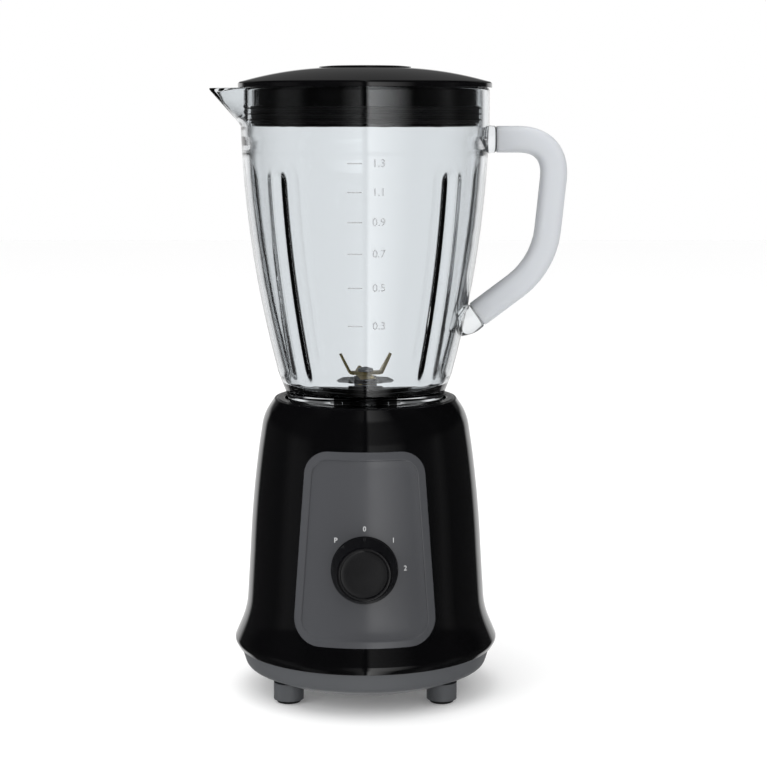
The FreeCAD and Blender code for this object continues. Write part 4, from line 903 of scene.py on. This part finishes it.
lean = (Vector(HANDLE_END) - Vector(HANDLE_ELBOW[:2])).normalized()
low_stub_start = tuple(Vector(HANDLE_END) + lean * JOINT_GAP)
stub_lines = [[(HANDLE_START_X - JOINT_GAP, HANDLE_TOP_Z), TOP_STUB_ROOT],
              rounded([low_stub_start, LOW_STUB_BEND, LOW_STUB_ROOT])]
for line in stub_lines:
    points, faces = swept(finer(line, 1.0, closed=False), STUB_FLARE)
    mesh = bpy.data.meshes.new("stub")
    mesh.from_pydata(points, [], faces)
    stub = bpy.data.objects.new("stub", mesh)
    bpy.context.scene.collection.objects.link(stub)
    point_outwards(mesh)
    union = jug.modifiers.new("union", "BOOLEAN")
    union.operation = "UNION"
    union.solver = "MANIFOLD"
    union.object = stub
    ready = jug.evaluated_get(bpy.context.evaluated_depsgraph_get())
    joined = bpy.data.meshes.new_from_object(ready)
    jug.modifiers.remove(union)
    jug.data = joined
    bpy.data.objects.remove(stub)
jug.data.materials.clear()
jug.data.materials.append(glass)
point_outwards(jug.data)
print("handle of", len(handle_line), "steps, jug now", len(jug.data.polygons), "faces")

# %% [markdown]
# The lid is a domed cap with a deep thin skirt that drops into the jug, and a soft seal with three fins
# round the skirt. The measuring cap sits in its middle. All three are turned, each from its own
# section, and each fin is the same ring repeated by a small tree of geometry nodes.

# %% Lid, cap and seal
LID_BORE, LID_SKIRT, LID_WALL = 24.35, 64.0, 2.6
LID_CROWN, LID_SHOULDER, LID_REST = 357.5, 349.6, 346.25
LID_EDGE, LID_LOW, BORE_LOW = 71.7, 325.0, 338.0
DOME_BOW = 200.0
dome = bow((LID_EDGE - 0.8, LID_SHOULDER), (LID_BORE, LID_CROWN), DOME_BOW)[::-1]
under_dome = bow((LID_SKIRT - LID_WALL, 347.4), (LID_BORE + LID_WALL, 354.9), DOME_BOW)
lid_section = rounded(
    [(LID_BORE, LID_CROWN, 0.4)] + dome[1:-1]
    + [(LID_EDGE - 0.8, LID_SHOULDER, 0.6), (LID_EDGE, LID_SHOULDER - 0.8, 0.5),
       (LID_EDGE, LID_REST, 0.4), (LID_SKIRT, LID_REST, 0.3), (LID_SKIRT, LID_LOW, 0.6),
       (LID_SKIRT - LID_WALL, LID_LOW, 0.6), (LID_SKIRT - LID_WALL, 347.4, 1.5)]
    + under_dome[1:] + [(LID_BORE + LID_WALL, BORE_LOW, 0.6), (LID_BORE, BORE_LOW, 0.6)])
new_piece("lid_dome", *spun(lid_section), finish["gloss_black_shell"], "lid", "gloss_black_shell",
          "lid_cover")
CAP_TOP, CAP_LOW, CAP_FLANGE, CAP_SIDE, CAP_INSIDE = 358.5, 334.0, 26.0, 24.0, 21.8
cap_under = LID_CROWN + 0.05
cap_section = rounded(
    [(0, CAP_TOP), (22.0, CAP_TOP, 3.0), (CAP_FLANGE, CAP_TOP - 0.5, 0.3),
     (CAP_FLANGE, cap_under, 0.15), (CAP_SIDE, cap_under, 0.2), (CAP_SIDE, CAP_LOW, 0.8),
     (CAP_INSIDE, CAP_LOW, 0.8), (CAP_INSIDE, 355.7, 2.0), (0, 355.7)])
new_piece("cap_cup", *spun(cap_section), finish["gloss_black_shell"], "cap", "gloss_black_shell",
          "measuring_cap")
print("lid and cap turned, lid", round(LID_SKIRT * 2), "mm across its skirt")


def repeats(name, source, steps, offset, material):
    """The source mesh repeated along an offset by geometry nodes, returned as one finished mesh."""
    group = bpy.data.node_groups.new(name, "GeometryNodeTree")
    face = group.interface
    face.new_socket("Geometry", in_out="INPUT", socket_type="NodeSocketGeometry")
    many = face.new_socket("Count", in_out="INPUT", socket_type="NodeSocketInt")
    step = face.new_socket("Step", in_out="INPUT", socket_type="NodeSocketVector")
    face.new_socket("Geometry", in_out="OUTPUT", socket_type="NodeSocketGeometry")
    start = group.nodes.new("NodeGroupInput").outputs
    line = add_node(group, "GeometryNodeMeshLine", links={"Count": start["Count"],
                                                          "Offset": start["Step"]})
    copies = add_node(group, "GeometryNodeInstanceOnPoints",
                      links={"Points": line.outputs[0], "Instance": start["Geometry"]})
    real = add_node(group, "GeometryNodeRealizeInstances", links={0: copies.outputs[0]})
    finished = add_node(group, "GeometryNodeSetMaterial", {"Material": material},
                        {"Geometry": real.outputs[0]})
    add_node(group, "NodeGroupOutput", links={0: finished.outputs[0]})
    carrier = bpy.data.objects.new(name, source)
    bpy.context.scene.collection.objects.link(carrier)
    tool = carrier.modifiers.new(name, "NODES")
    tool.node_group = group
    tool[many.identifier] = steps
    tool[step.identifier] = offset
    ready = carrier.evaluated_get(bpy.context.evaluated_depsgraph_get())
    result = bpy.data.meshes.new_from_object(ready)
    bpy.data.objects.remove(carrier)
    return result


def plain_mesh(points, faces):
    """A closed mesh with no material, ready to be repeated."""
    mesh = bpy.data.meshes.new("source")
    mesh.from_pydata(points, [], faces)
    point_outwards(mesh)
    return mesh


FIN_LOW, FIN_PITCH, FIN_COUNT = 328.0, 3.2, 3
FIN_REACH, BAND_OUT, BAND_IN = 65.65, 64.5, 64.02
fin = rounded([(BAND_IN, FIN_LOW - 1.5), (BAND_OUT, FIN_LOW - 1.5, 0.2), (BAND_OUT, FIN_LOW, 0.1),
               (FIN_REACH, FIN_LOW + 0.1, 0.25), (FIN_REACH, FIN_LOW + 0.8, 0.25),
               (BAND_OUT, FIN_LOW + 0.9, 0.1), (BAND_OUT, FIN_LOW + 1.69), (BAND_IN, FIN_LOW + 1.69)])
seal_mesh = repeats("seal_fins", plain_mesh(*spun(fin)), FIN_COUNT, (0, 0, FIN_PITCH * MM),
                    finish["seal_silicone"])
point_outwards(seal_mesh)
seal = bpy.data.objects.new("seal_fins", seal_mesh)
bpy.context.scene.collection.objects.link(seal)
settle(seal, "lid", "seal_silicone", "lid_seal")
print("seal with", FIN_COUNT, "fins")

# %% [markdown]
# Each blade is a strip of sheet steel, bent up near its ends and ground to an edge on both long sides.
# It is laid out along its length: at every station the strip has a height, a half width and a
# thickness, and the section there is a flat hexagon whose sharp sides are the ground edges.

# %% Blades
GAUGE, BLADE_HALF, EDGE_THICK = 1.5, 4.5, 0.12
UPPER_LOW, LOWER_LOW = 184.1, 182.6


def blade(name, low, stations, degrees, node):
    """A blade from stations of (distance along, height above low, half width), mirrored about 0."""
    line = [(-x, z, w) for x, z, w in stations[::-1] if x > 0] + stations
    rows = []
    for at, (x, z, wide) in enumerate(line):
        before, after = line[max(at - 1, 0)], line[min(at + 1, len(line) - 1)]
        way = Vector((after[0] - before[0], 0, after[1] - before[1])).normalized()
        up = Vector((-way.z, 0, way.x))
        here = Vector((x, 0, low + z))
        bevel = min(wide * 0.55, 1.6)
        shape = [(-wide, EDGE_THICK), (-wide, 0.0), (wide, 0.0), (wide, EDGE_THICK),
                 (wide - bevel, GAUGE), (-wide + bevel, GAUGE)]
        rows.append([here + Vector((0, y, 0)) + up * h for y, h in shape])
    spin = Matrix.Rotation(math.radians(degrees), 3, "Z")
    centre_low = sum(rows[0], Vector()) / 6
    centre_high = sum(rows[-1], Vector()) / 6
    rows = [[centre_low]] + rows + [[centre_high]]
    points, faces = skin([[tuple(spin @ p * MM) for p in row] for row in rows])
    new_piece(name, points, faces, finish["blade_steel"], "blades", "blade_steel", node)


def bent(flat, reach, rise, tip):
    """Stations of a blade: flat in the middle, a round bend, then a rising arm that tapers."""
    wide = BLADE_HALF
    stations = [(0.0, 0.0, wide), (flat * 0.5, 0.0, wide), (flat - 1.5, 0.0, wide)]
    for step in range(1, 6):
        share = step / 6
        stations.append((flat - 1.5 + 2.6 * share, 1.3 * share ** 2 * rise / reach, wide))
    start_x, start_z = stations[-1][:2]
    for step in range(1, 9):
        share = step / 8
        stations.append((start_x + (reach - start_x) * share, start_z + (rise - start_z) * share,
                         wide + (tip - wide) * share ** 1.4))
    return stations


blade("blade_raised", UPPER_LOW, bent(9.0, 15.2, 11.4, 1.3), 8.0, "upper_blade")
blade("blade_spread", LOWER_LOW, bent(10.0, 22.6, 1.9, 1.4), 100.0, "lower_blade")
STUD_R, NUT_R, STUD_LOW = 3.0, 4.4, 159.6
nut_low = UPPER_LOW + GAUGE + 0.1
stud = rounded([(0, STUD_LOW), (STUD_R, STUD_LOW, 0.4), (STUD_R, nut_low, 0.1), (NUT_R, nut_low, 0.1),
                (NUT_R, nut_low + 1.4, 0.5), (1.2, nut_low + 2.4, 0.6), (0, nut_low + 2.4)])
new_piece("blade_stud", *spun(stud), finish["bright_steel"], "blades", "bright_steel",
          "blade_shaft", "blade_nut")
print("two blades ground and their stud turned")

# %% [markdown]
# The four rubber feet are one turned pad, repeated at the corners of the pan by geometry nodes.

# %% Feet
PAD_APART_X, PAD_APART_Y = 87.0, 72.0
PAD_R, PAD_HIGH = 6.8, 4.5
pad = rounded([(0, 0), (PAD_R, 0, 0.8), (PAD_R, PAD_HIGH, 0.3), (0, PAD_HIGH)])
one_side = repeats("pads_side", plain_mesh(*spun(pad)), 2, (0, PAD_APART_Y * MM, 0),
                   finish["black_rubber"])
pads_mesh = repeats("pads_all", one_side, 2, (PAD_APART_X * MM, 0, 0), finish["black_rubber"])
for vertex in pads_mesh.vertices:
    vertex.co += Vector((-PAD_APART_X / 2, -PAD_APART_Y / 2, 0)) * MM
point_outwards(pads_mesh)
pads = bpy.data.objects.new("rubber_feet", pads_mesh)
bpy.context.scene.collection.objects.link(pads)
settle(pads, "root", "black_rubber", "foot_pads")
print("feet", PAD_APART_X, "by", PAD_APART_Y, "mm apart")
